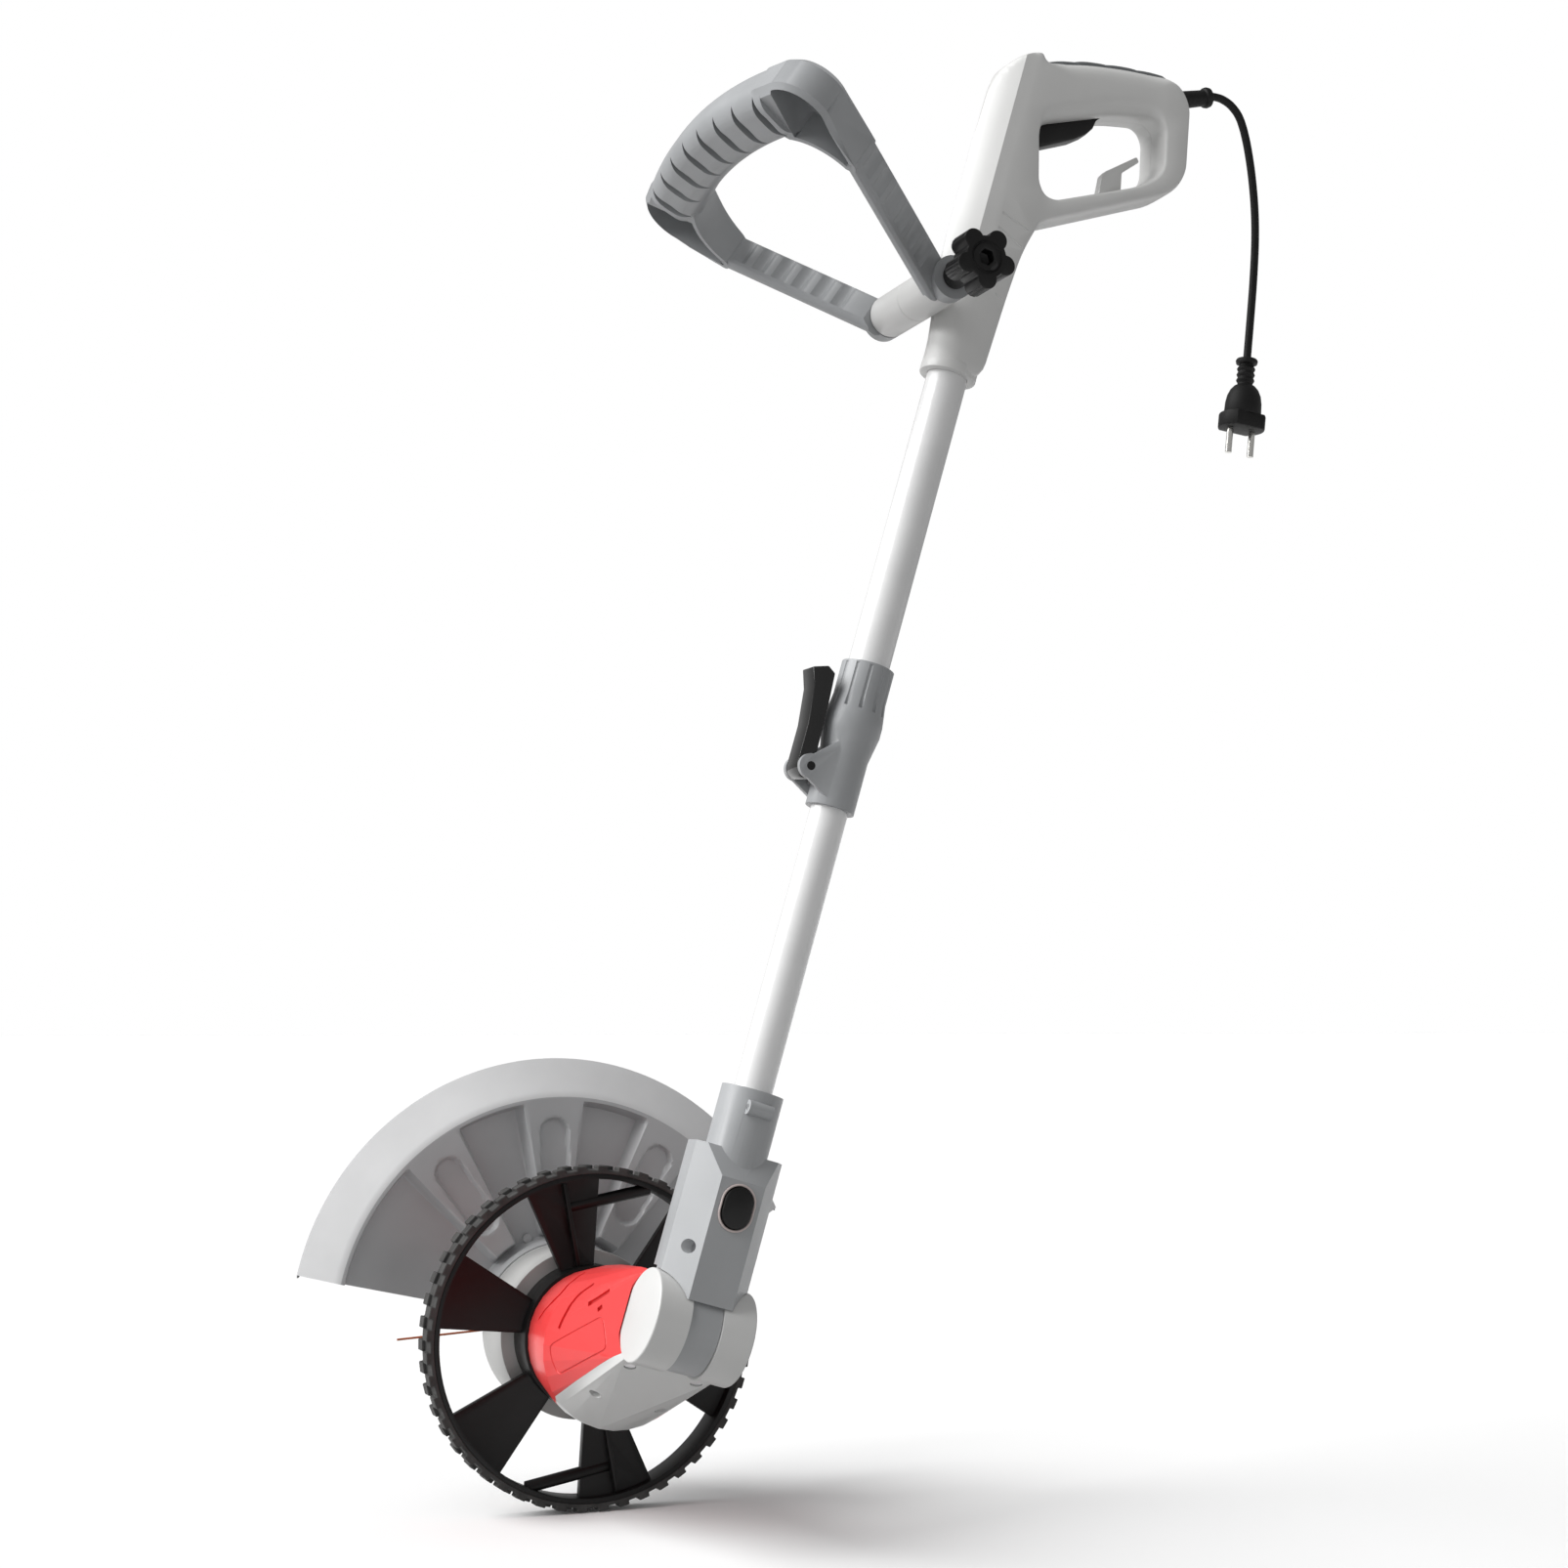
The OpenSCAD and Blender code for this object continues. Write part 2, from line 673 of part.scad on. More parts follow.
module yoke_half(side) color("gray") in_row() intersection() {
    yoke_solid();
    translate([side < 0 ? -2 * yoke_side_w : 0, -2 * yoke_front_d, -2 * ring_r])
        cube([2 * yoke_side_w, 4 * yoke_front_d, 2 * (yoke_top + yoke_collar_h)]);
}

module yoke_left() yoke_half(-1);
module yoke_right() yoke_half(1);

module yoke_screws() color("silver") in_row() {
    translate([0, -yoke_collar_r, boss_screw_z]) along_x(yoke_screw_r, -boss_screw_half, boss_screw_half);
    translate([0, -yoke_screw_y, yoke_screw_z]) {
        along_x(yoke_screw_r, -yoke_screw_half, yoke_screw_half);
        along_x(yoke_screw_head_r, -yoke_screw_half - yoke_screw_head_t, -yoke_screw_half);
    }
}

module button_bezel() color("darkgray") in_row() translate([0, -yoke_front_d, button_z])
    rotate([90, 0, 0]) linear_extrude(bezel_t) difference() {
        stadium(button_w + 2 * (move_gap + bezel_w), button_h + 2 * (move_gap + bezel_w));
        stadium(button_w + 2 * move_gap, button_h + 2 * move_gap);
    }

module tilt_button() color("black") in_row()
    translate([0, -yoke_front_d - button_pop + button_t, button_z]) rotate([90, 0, 0])
        linear_extrude(button_t) stadium(button_w, button_h);

// Motor head
module hinge_pin() color("silver") in_row()
    along_x(hinge_pin_r, -barrel_half + cap_floor + seat_gap, barrel_half - cap_floor - seat_gap);

module head_solid(inset, end_r, neck_from) hull() {
    motor_disc(housing_r - inset, -housing_widest - housing_widest_len + inset, -housing_widest, $fn = 32);
    motor_disc(end_r, -wheel_clear - cut, -wheel_clear + (inset > 0 ? cut : 0), $fn = 32);
    translate([-neck_half_w + inset, neck_from, -neck_half_h + inset])
        cube([2 * (neck_half_w - inset), neck_len, 2 * (neck_half_h - inset)]);
}

module above_parting() translate([0, part_y, part_z]) rotate([-part_slope, 0, 0])
    translate([-2 * housing_r, -4 * housing_r, 0]) cube([4 * housing_r, 8 * housing_r, 4 * housing_r]);

module barrel_clearance() {
    along_x(ring_r + move_gap, -ring_half - move_gap, ring_half + move_gap);
    translate([-ring_half - move_gap, -cap_r, 0])
        cube([ring_w + 2 * move_gap, cap_r + yoke_back_clear, 2 * cap_r]);
}

module head_shell() difference() {
    head_solid(0, housing_end_r, neck_y);
    difference() {
        head_solid(housing_wall, journal_r + seat_gap, neck_wall_y);
        at_housing_screws() translate([0, 0, -housing_boss_half])
            cylinder(r = housing_boss_r, h = 2 * housing_boss_half);
    }
    barrel_clearance();
}

module motor_housing() color("whitesmoke") in_row() difference() {
    union() {
        difference() {
            head_shell();
            above_parting();
            housing_screw_holes();
        }
        for (side = [-1, 1]) scale([side, 1, 1]) along_x(cap_r, ring_half + move_gap, barrel_half);
    }
    along_x(hinge_pin_r, -barrel_half + cap_floor, barrel_half - cap_floor);
}

module motor_cover() color("firebrick") in_row() difference() {
    intersection() {
        head_shell();
        translate([0, 0, seat_gap]) above_parting();
    }
    along_x(cap_r + seat_gap, -barrel_half - cut, barrel_half + cut);
    housing_screw_holes();
}

// Screws that hold the cover, square to the parting
module at_housing_screws() for (side = [-1, 1], y = housing_screw_ys)
    translate([0, part_y, part_z]) rotate([-part_slope, 0, 0]) translate([side * housing_screw_x, y, 0])
        children();

module housing_screw_holes() at_housing_screws() {
    translate([0, 0, -housing_screw_low])
        cylinder(r = housing_screw_r + seat_gap, h = housing_screw_len + seat_gap);
    translate([0, 0, -housing_boss_half])
        cylinder(r = housing_bore_r, h = housing_boss_half - housing_screw_low);
}

module housing_screws() color("silver") in_row() at_housing_screws() translate([0, 0, -housing_screw_low]) {
    cylinder(r = housing_screw_r, h = housing_screw_len);
    translate([0, 0, -housing_screw_head_t]) cylinder(r = housing_screw_head_r, h = housing_screw_head_t);
}

module motor_pot() color("lightgray") at_motor() difference() {
    rotate_extrude() polygon([
        [0, -socket_len - wheel_clear], [journal_r, -socket_len - wheel_clear], [journal_r, wheel_clear],
        [pot_r, wheel_clear], [pot_r, pot_end - pot_taper], [pot_r - pot_taper, pot_end], [0, pot_end]]);
    translate([0, 0, -socket_len - wheel_clear - cut])
        cylinder(r = journal_r - journal_wall, h = pot_floor_y + socket_len + wheel_clear + cut);
    translate([0, 0, wheel_clear + pot_wall])
        cylinder(r = pot_r - pot_wall, h = pot_floor_y - wheel_clear - pot_wall);
    translate([0, 0, pot_floor_y + bearing_t]) cylinder(r = pot_r - pot_taper - pot_wall, h = pot_len);
    translate([0, 0, -cut]) cylinder(r = bearing_r, h = pot_floor_y + bearing_t + cut);
}

module stator() color("saddlebrown") at_motor() translate([0, 0, stator_mid - stator_half]) difference() {
    cylinder(r = journal_r - journal_wall - seat_gap, h = 2 * stator_half);
    translate([0, 0, -cut])
        cylinder(r = journal_r - journal_wall - seat_gap - stator_t, h = 2 * (stator_half + cut));
}

module bearing_bridge() color("dimgray") at_motor() translate([0, 0, -socket_len - wheel_clear])
    difference() {
        cylinder(r = journal_r - journal_wall - seat_gap, h = bridge_t);
        translate([0, 0, -cut]) cylinder(r = bearing_r, h = bridge_t + 2 * cut);
    }

module bearing() difference() {
    cylinder(r = bearing_r - seat_gap, h = bearing_t);
    translate([0, 0, -cut]) cylinder(r = shaft_r + run_gap, h = bearing_t + 2 * cut);
}

module bearing_upper() color("silver") at_motor() translate([0, 0, -socket_len - wheel_clear]) bearing();
module bearing_lower() color("silver") at_motor() translate([0, 0, pot_floor_y]) bearing();

module motor_shaft() color("silver") at_motor() translate([0, 0, shaft_top])
    cylinder(r = shaft_r, h = shaft_end - shaft_top);

module shaft_sleeve(r, from, h) translate([0, 0, from]) difference() {
    cylinder(r = r, h = h);
    translate([0, 0, -cut]) cylinder(r = shaft_r + seat_gap, h = h + 2 * cut);
}

module rotor() color("peru") at_motor() shaft_sleeve(rotor_r, stator_mid - stator_half, 2 * stator_half);

module fan() color("dimgray") at_motor() {
    fan_r = journal_r - journal_wall - move_gap;
    shaft_sleeve(fan_hub_r, wheel_clear + pot_wall + move_gap, fan_t);
    for (i = [0 : fan_count - 1]) rotate([0, 0, i * 360 / fan_count])
        translate([fan_hub_r - cut, -fan_blade_t * half_share, wheel_clear + pot_wall + move_gap])
            cube([fan_r - fan_hub_r + cut, fan_blade_t, fan_t]);
}

// Edging wheel
module wheel() color("black") at_motor() difference() {
    union() {
        translate([0, 0, -hub_half]) cylinder(r = hub_r, h = 2 * hub_half);
        translate([0, 0, -wheel_w * half_share]) difference() {
            cylinder(r = rim_r, h = wheel_w);
            translate([0, 0, -cut]) cylinder(r = rim_r - rim_t, h = wheel_w + 2 * cut);
        }
        for (i = [0 : blade_count - 1])
            sector(first_blade + i * 360 / blade_count - blade_angle * half_share, blade_angle)
                translate([hub_r - cut, -blade_t * half_share])
                    square([rim_r - rim_t - hub_r + 2 * cut, blade_t]);
        for (a = brace_angles) rotate([0, 0, -a]) translate([brace_at, 0, 0]) rotate([-90, 0, 0])
            cylinder(r = brace_r, h = brace_len);
    }
    translate([0, 0, -hub_half - cut]) cylinder(r = journal_r + run_gap, h = 2 * (hub_half + cut));
}

// One row of tread blocks round the tyre, turned by a share of a block
module tread_row(turn_share) polygon([
    for (i = [0 : tread_count - 1]) let (step = 360 / tread_count, a = (i + turn_share) * step)
        for (p = [[0, tread_root], [0, wheel_r], [half_share, wheel_r], [half_share, tread_root]])
            [p[1] * cos(a + p[0] * step), p[1] * sin(a + p[0] * step)]]);

module tyre() color("black") at_motor() difference() {
    row_w = (wheel_w - tread_gap) * half_share;
    union() {
        translate([0, 0, -wheel_w * half_share]) cylinder(r = wheel_r - tread_d, h = wheel_w);
        translate([0, 0, -wheel_w * half_share]) linear_extrude(row_w) tread_row(0);
        translate([0, 0, wheel_w * half_share - row_w]) linear_extrude(row_w) tread_row(half_share);
    }
    translate([0, 0, -wheel_w]) cylinder(r = tyre_in_r, h = 2 * wheel_w);
}

// Guard
module guard_section() polygon([
    [guard_in_r, guard_collar_y], [guard_in_r + guard_t, guard_collar_y],
    [guard_in_r + guard_t, guard_panel_y], [guard_step_r - guard_t, guard_panel_y],
    [guard_step_r - guard_t, guard_top], [guard_step_r, guard_top], [guard_r, guard_y - guard_t],
    [guard_r, guard_y], [guard_step_r, guard_top + guard_t], [guard_step_r, guard_panel_y + guard_t],
    [guard_in_r, guard_panel_y + guard_t]]);

// The wall that closes each end of the guard, a little inside its skin
module guard_end_section() offset(delta = -guard_wall_inset) polygon([
    [guard_in_r + guard_t, guard_panel_y], [guard_step_r - guard_t, guard_panel_y],
    [guard_step_r, guard_top], [guard_r, guard_y - guard_t], [guard_r, guard_y],
    [guard_in_r + guard_t, guard_y]]);

module guard_band() difference() {
    sector(-band_angle * half_share, band_angle) translate([band_in_r, guard_top + band_sink])
        square([guard_step_r - guard_t - band_in_r + cut, panel_d + cut - band_sink]);
    translate([band_recess_at + band_recess_len * half_share, 0, guard_top - cut]) rotate([0, 0, 90])
        linear_extrude(cut + band_sink + guard_t)
            stadium(2 * band_recess_r, 2 * (band_recess_r + band_recess_len));
}

module guard() color("gray") at_motor() {
    guard_end = guard_start + guard_span;
    sector(guard_start, guard_span) guard_section();
    for (a = [guard_start + guard_wall_in, guard_end - guard_wall_in - guard_wall_angle])
        sector(a, guard_wall_angle) guard_end_section();
    for (i = [0 : band_count - 1]) rotate([0, 0, -band_first - i * band_step]) guard_band();
}

module guard_screws() color("silver") at_motor()
    for (i = [0 : band_count - 2]) rotate([0, 0, -band_first - (i + half_share) * band_step])
        translate([guard_screw_at, 0, guard_panel_y - guard_screw_h])
            cylinder(r = guard_screw_r, h = guard_screw_h);

module line_cutter() color("silver") at_motor() rotate([0, 0, -guard_start])
    translate([line_reach + cutter_h, 0, guard_y - cutter_w * half_share])
        cube([cutter_h, cutter_t, cutter_w]);

// Cutting head
module spool_housing() color("black") at_motor() difference() {
    translate([0, 0, spool_top]) cylinder(r = spool_r, h = spool_h);
    translate([0, 0, spool_top + spool_wall])
        cylinder(r = spool_r - spool_wall, h = spool_h - 2 * spool_wall);
    translate([0, 0, spool_top - cut]) cylinder(r = shaft_r + seat_gap, h = spool_h);
    translate([0, 0, spool_top + spool_wall]) cylinder(r = bump_r + run_gap, h = spool_h);
    for (a = [0, 180]) rotate([0, 0, a - line_angle]) translate([0, 0, line_y]) rotate([0, 90, 0])
        cylinder(r = eyelet_r, h = 2 * spool_r);
}

module line_spool() color("dimgray") at_motor() rotate_extrude() polygon([
    [shaft_r + seat_gap, reel_top], [reel_r, reel_top], [reel_r, reel_top + reel_flange_t],
    [reel_core_r, reel_top + reel_flange_t], [reel_core_r, reel_end - reel_flange_t],
    [reel_r, reel_end - reel_flange_t], [reel_r, reel_end], [bump_r + move_gap, reel_end],
    [bump_r + move_gap, reel_floor], [shaft_r + seat_gap, reel_floor]]);

module cutting_lines() color("orangered") at_motor()
    for (a = [0, 180]) rotate([0, 0, a - line_angle]) translate([reel_core_r, 0, line_y]) rotate([0, 90, 0])
        cylinder(r = line_r, h = line_reach - reel_core_r);

module bump_knob() color("dimgray") at_motor() translate([0, 0, spool_end + bump_pop - bump_len])
    cylinder(r = bump_r, h = bump_len);

// Rear handle
module rounded(r) offset(r) offset(delta = -r) children();

module handle_outline() rounded(corner_r) polygon(handle_points(handle_outline_shares));
module window_outline() rounded(corner_r) polygon(handle_points(window_outline_shares));

module frame_outline(inset) difference() {
    offset(delta = -inset) handle_outline();
    offset(delta = inset) window_outline();
}

module inlay_outline(gap) intersection() {
    difference() {
        handle_outline();
        offset(delta = -inlay_t - gap) handle_outline();
    }
    translate([inlay_shares[0] * handle_w - handle_front - gap, grip_z - inlay_t])
        square([(inlay_shares[1] - inlay_shares[0]) * handle_w + 2 * gap, handle_h]);
}

// Room inside the handle's round front, behind a wall
module nose_room(wall) translate([-nose_back, 0, handle_z - cut]) {
    cylinder(r = handle_half + nose_swell - wall, h = handle_h + 2 * cut);
    translate([0, -handle_half - cut, 0]) cube([2 * handle_w, 2 * (handle_half + cut), handle_h + 2 * cut]);
}

module handle_solid() {
    intersection() {
        union() {
            drawn_y(-handle_core, handle_core) frame_outline(0);
            drawn_y(-handle_half, handle_half) frame_outline(handle_edge);
        }
        nose_room(0);
    }
    translate([0, 0, handle_z - seat_gap]) cylinder(r = foot_r, h = foot_h);
    translate([-pivot_x, 0, pivot_z]) along_y(boss_r, -boss_half, boss_half);
}

module handle_hollow() intersection() {
    drawn_y(-handle_half + handle_wall, handle_half - handle_wall) difference() {
        intersection() {
            frame_outline(handle_edge + handle_wall);
            translate([-handle_w, socket_z + handle_wall]) square([3 * handle_w, handle_h]);
        }
        for (p = handle_points(screw_shares)) translate(p) circle(screw_head_r + handle_wall);
    }
    nose_room(handle_wall);
}

module at_handle_screws() for (p = handle_points(screw_shares)) translate([p[0], 0, p[1]]) children();

// The room that the trigger needs, at rest and pulled
module trigger_slot() offset(delta = 2 * move_gap) hull()
    for (way = [0, trigger_travel]) translate([-way * sin(lean), way * cos(lean)])
        polygon(handle_points(trigger_shares));

module handle_shell(side) color("whitesmoke") in_row() difference() {
    handle_solid();
    handle_hollow();
    translate([0, 0, handle_z - cut]) cylinder(r = upper_tube_r + seat_gap, h = socket_z - handle_z + cut);
    translate([-pivot_x, 0, pivot_z]) along_y(bolt_bore_r, -boss_half - cut, boss_half + cut);
    drawn_y(-trigger_half - move_gap, trigger_half + move_gap) trigger_slot();
    drawn_y(-inlay_half - seat_gap, inlay_half + seat_gap) inlay_outline(seat_gap);
    at_relief() along_x(relief_r + seat_gap, -relief_root - seat_gap, relief_len);
    at_handle_screws() {
        along_y(screw_r + seat_gap, -screw_len * half_share, screw_len * half_share);
        along_y(screw_head_r + seat_gap, screw_len * half_share, 2 * handle_half);
    }
    translate([-handle_w, side < 0 ? 0 : -4 * handle_half, 0])
        cube([3 * handle_w, 4 * handle_half, 2 * handle_z]);
}

module handle_left() handle_shell(-1);
module handle_right() handle_shell(1);

module handle_screws() color("silver") in_row() at_handle_screws() {
    along_y(screw_r, -screw_len * half_share, screw_len * half_share);
    along_y(screw_head_r, screw_len * half_share, screw_len * half_share + screw_r);
}

module grip_inlay() color("dimgray") in_row() drawn_y(-inlay_half, inlay_half) inlay_outline(0);

module switch_block() color("black") translate([switch_x - switch_w * half_share, 0, switch_up])
    translate([0, -handle_half + handle_wall + seat_gap, 0])
        cube([switch_w, 2 * (handle_half - handle_wall - seat_gap), switch_h]);

module trigger() color("black") in_row() drawn_y(-trigger_half, trigger_half)
    polygon(handle_points(trigger_shares));

module cord_hook() color("gainsboro") in_row() difference() {
    drawn_y(-hook_half, hook_half) polygon(handle_points(hook_shares));
    drawn_y(-handle_half, handle_half) difference() {
        handle_outline();
        window_outline();
    }
}

// Front handle, in a frame whose x axis runs from the pivot along the loop
module in_loop() in_row() translate([-pivot_x, 0, pivot_z]) rotate([0, 180 + loop_rise, 0]) children();

module rounded_box(w, d, r) {
    square([w - 2 * r, d], center = true);
    square([w, d - 2 * r], center = true);
    for (a = [-1, 1], b = [-1, 1]) translate([a * (w * half_share - r), b * (d * half_share - r)]) circle(r);
}

// A straight arm along x, with finger scoops on both sides
module arm() difference() {
    rotate([90, 0, 90]) linear_extrude(arm_len + cut) rounded_box(arm_w, arm_d, arm_round);
    for (i = [0 : scoop_count - 1], side = [-1, 1])
        translate([scoop_from + i * scoop_step, side * (arm_w * half_share + scoop_r - scoop_d), -arm_d])
            cylinder(r = scoop_r, h = arm_d + arm_d * half_share - scoop_foot);
}

// A round block with its rims cut back
module puck(r) {
    cylinder(r = r, h = shoulder_d - 2 * shoulder_edge, center = true, $fn = 48);
    cylinder(r = r - shoulder_edge, h = shoulder_d, center = true, $fn = 48);
}

// The hollow cell under a shoulder
module cell_outline() difference() {
    hull() {
        translate([shoulder_u, arm_end_y]) circle(shoulder_r - shoulder_wall);
        translate([bow_end_u, bow_end_y]) circle(front_grip_w * half_share - shoulder_wall);
        translate([arm_reach, arm_end_y]) circle(arm_w * half_share - shoulder_wall);
    }
    translate([inner_u, inner_y]) circle(inner_r + shoulder_wall);
    translate([shoulder_u - cell_back, arm_end_y - cell_in]) rotate(cell_turn)
        translate([-shoulder_u, -2 * shoulder_u]) square(2 * shoulder_u);
}

module shoulder() difference() {
    hull() {
        translate([shoulder_u, arm_end_y, 0]) puck(shoulder_r);
        translate([bow_end_u, bow_end_y, 0]) puck(front_grip_w * half_share);
        translate([arm_reach, arm_end_y, arm_drop - loop_drop])
            cylinder(r = arm_w * half_share, h = arm_d, center = true, $fn = 16);
    }
    translate([inner_u, inner_y, -shoulder_d]) cylinder(r = inner_r, h = 2 * shoulder_d);
    translate([0, 0, -shoulder_d * half_share + shoulder_floor]) linear_extrude(shoulder_d) cell_outline();
}

module loop_side() {
    translate([0, eye_y, 0]) rotate([-90, 0, 0]) cylinder(r = eye_r, h = eye_t);
    translate([arm_start, arm_y + arm_start * tan(arm_flare), arm_drop]) rotate([0, 0, arm_flare]) arm();
    translate([0, 0, loop_drop]) shoulder();
}

// A slot with two curved sides that meet at its tips, along x
module pocket_outline() intersection() {
    translate([0, pocket_arc_r - pocket_w * half_share]) circle(pocket_arc_r);
    translate([0, -pocket_arc_r + pocket_w * half_share]) circle(pocket_arc_r);
}

module front_handle() color("gray") in_loop() difference() {
    union() {
        loop_side();
        mirror([0, 1, 0]) loop_side();
        translate([bow_u, 0, loop_drop]) rotate([0, 0, -bow_half_angle - bow_lap])
            rotate_extrude(angle = 2 * (bow_half_angle + bow_lap)) translate([bow_r, 0])
                rounded_box(front_grip_w, front_grip_d, front_grip_round);
    }
    along_y(bolt_bore_r, -bolt_end - cut, bolt_end + cut);
    along_y(eye_r + eye_clear, -eye_y, eye_y);
    for (side = [-1, 1]) mirror([0, side > 0 ? 0 : 1, 0])
        along_y(knob_stem_r + eye_clear, bolt_end, bolt_end + 2 * arm_w);
    for (i = [0 : pocket_count - 1]) translate([bow_u, 0, 0])
        rotate([0, 0, (i - (pocket_count - 1) / 2) * pocket_step / bow_r * 180 / PI])
            translate([bow_r, 0, loop_drop + front_grip_d * half_share - pocket_deep])
                linear_extrude(pocket_deep + cut) pocket_outline();
}

module pivot_bolt() color("silver") in_row() translate([-pivot_x, 0, pivot_z]) {
    along_y(bolt_r, -bolt_end - knob_stem_len, bolt_end + bolt_head_t);
    along_y(bolt_head_r, bolt_end + move_gap, bolt_end + bolt_head_t);
}

module knob_outline() {
    circle(knob_r);
    for (i = [0 : knob_lobes - 1]) rotate(i * 360 / knob_lobes) translate([knob_r, 0])
        circle(knob_lobe_r);
}

module star_knob() color("black") in_row() translate([-pivot_x, 0, pivot_z]) difference() {
    stem_y = -bolt_end - move_gap;
    union() {
        along_y(knob_stem_r, stem_y - knob_stem_len, stem_y);
        translate([0, stem_y - knob_stem_len, 0]) rotate([90, 0, 0]) linear_extrude(knob_t) knob_outline();
    }
    along_y(bolt_r + seat_gap, -bolt_end - knob_stem_len - seat_gap, 0);
    translate([0, stem_y - knob_stem_len - knob_t + knob_socket_d, 0]) rotate([90, 0, 0])
        cylinder(r = knob_socket_r, h = 2 * knob_socket_d, $fn = 6);
}

// Mains lead
module at_relief()
    translate([relief_shares[0] * handle_w - handle_front, 0, handle_z + relief_shares[1] * handle_h])
        rotate([0, -relief_angle, 0]) children();

module strain_relief() color("black") in_row() at_relief() rotate([0, 90, 0]) {
    translate([0, 0, -relief_root]) cylinder(r = relief_r, h = relief_root);
    cylinder(r1 = relief_r, r2 = relief_end_r, h = relief_len);
}

function unit(v) = v / norm(v);
function route_way(path, i) = unit(path[min(i + 1, len(path) - 1)] - path[max(i - 1, 0)]);
function route_ring(path, i, r) = let (way = route_way(path, i), across = cross(way, [0, 1, 0]))
    [for (k = [0 : cord_sides - 1]) let (a = 360 * k / cord_sides)
        path[i] + r * (cos(a) * across + sin(a) * [0, 1, 0])];

// A tube swept along a route, with flat ends
module swept(path, r) {
    last = len(path) - 1;
    polyhedron(
        points = [for (i = [0 : last]) each route_ring(path, i, r)],
        faces = [
            [for (k = [0 : cord_sides - 1]) k],
            for (i = [0 : last - 1], k = [0 : cord_sides - 1]) let (n = (k + 1) % cord_sides)
                [i * cord_sides + k, (i + 1) * cord_sides + k, (i + 1) * cord_sides + n, i * cord_sides + n],
            [for (k = [cord_sides - 1 : -1 : 0]) last * cord_sides + k]]);
}

module mains_cord() color("black") swept(cord_route, cord_d * half_share);

module at_plug() translate(cord_route[len(cord_route) - 1]) rotate([0, 180 - plug_tilt, 0]) children();

module plug_outline() intersection() {
    circle(plug_w * half_share);
    square([plug_w, plug_t], center = true);
}

module plug_body() color("black") at_plug() {
    cylinder(r = plug_neck_r, h = plug_neck + cut);
    hull() {
        translate([0, 0, plug_neck]) cylinder(r = plug_top_r, h = cut, $fn = 32);
        translate([0, 0, plug_len - plug_flange_t]) linear_extrude(plug_flange_t, $fn = 32) plug_outline();
    }
}

module plug_pins() color("silver") at_plug() for (side = [-1, 1])
    translate([side * plug_pin_gap * half_share, 0, plug_len]) cylinder(r = plug_pin_r, h = plug_pin_len);

lower_tube();
upper_tube();
clamp_body();
clamp_pin();
clamp_shoe();
clamp_lever();
yoke_left();
yoke_right();
yoke_screws();
button_bezel();
tilt_button();
hinge_pin();
motor_housing();
motor_cover();
motor_pot();
stator();
bearing_bridge();
bearing_upper();
bearing_lower();
motor_shaft();
rotor();
fan();
housing_screws();
wheel();
tyre();
guard();
guard_screws();
line_cutter();
spool_housing();
line_spool();
cutting_lines();
bump_knob();
handle_left();
handle_right();
handle_screws();
grip_inlay();
switch_block();
trigger();
cord_hook();
front_handle();
pivot_bolt();
star_knob();
strain_relief();
mains_cord();
plug_body();
plug_pins();
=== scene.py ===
"""Looks of a wheeled string trimmer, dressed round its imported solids."""

import json
import math

import bmesh
import bpy
from bpy.props import FloatProperty, FloatVectorProperty, IntProperty, PointerProperty
from mathutils import Matrix, Vector
from mathutils.bvhtree import BVHTree
from mathutils.geometry import convex_hull_2d


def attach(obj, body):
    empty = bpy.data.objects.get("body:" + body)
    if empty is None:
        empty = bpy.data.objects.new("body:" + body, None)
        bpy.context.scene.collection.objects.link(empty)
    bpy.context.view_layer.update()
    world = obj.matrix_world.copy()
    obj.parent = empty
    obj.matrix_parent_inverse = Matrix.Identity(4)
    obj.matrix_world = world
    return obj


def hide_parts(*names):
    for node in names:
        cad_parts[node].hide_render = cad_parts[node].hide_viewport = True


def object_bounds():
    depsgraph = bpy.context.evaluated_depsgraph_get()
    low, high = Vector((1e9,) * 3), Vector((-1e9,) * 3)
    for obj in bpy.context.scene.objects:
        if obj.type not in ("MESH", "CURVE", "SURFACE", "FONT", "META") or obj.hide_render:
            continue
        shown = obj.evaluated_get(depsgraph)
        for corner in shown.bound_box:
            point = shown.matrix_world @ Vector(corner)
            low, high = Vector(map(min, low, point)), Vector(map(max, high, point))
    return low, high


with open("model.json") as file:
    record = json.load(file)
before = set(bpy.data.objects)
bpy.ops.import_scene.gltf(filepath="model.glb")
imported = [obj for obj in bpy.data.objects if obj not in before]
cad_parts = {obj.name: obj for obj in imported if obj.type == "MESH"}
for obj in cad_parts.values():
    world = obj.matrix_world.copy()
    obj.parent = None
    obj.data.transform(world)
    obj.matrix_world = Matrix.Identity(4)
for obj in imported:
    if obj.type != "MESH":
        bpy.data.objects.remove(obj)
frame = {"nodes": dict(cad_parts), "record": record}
CAD_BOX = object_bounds()

bl_info = {
    "name": "Wheeled string trimmer",
    "version": (1, 0, 0),
    "blender": (4, 5, 0),
    "location": "View3D > Sidebar > Trimmer",
    "description": "Builds the looks of a wheeled string trimmer round its packed solids",
    "category": "Object",
}

# Frames of the tool, in millimetres, as the part's source has them
MM = 0.001
LEAN = math.radians(16.4)
GRIP = Vector((60.56, 0.0, 944.7))
HEAD_LEN, HINGE_RISE = 192.0, 28.0
PIVOT = Vector((-38.0, 0.0, 736.0))
QUARTER = math.pi / 2
TURN = 2 * math.pi

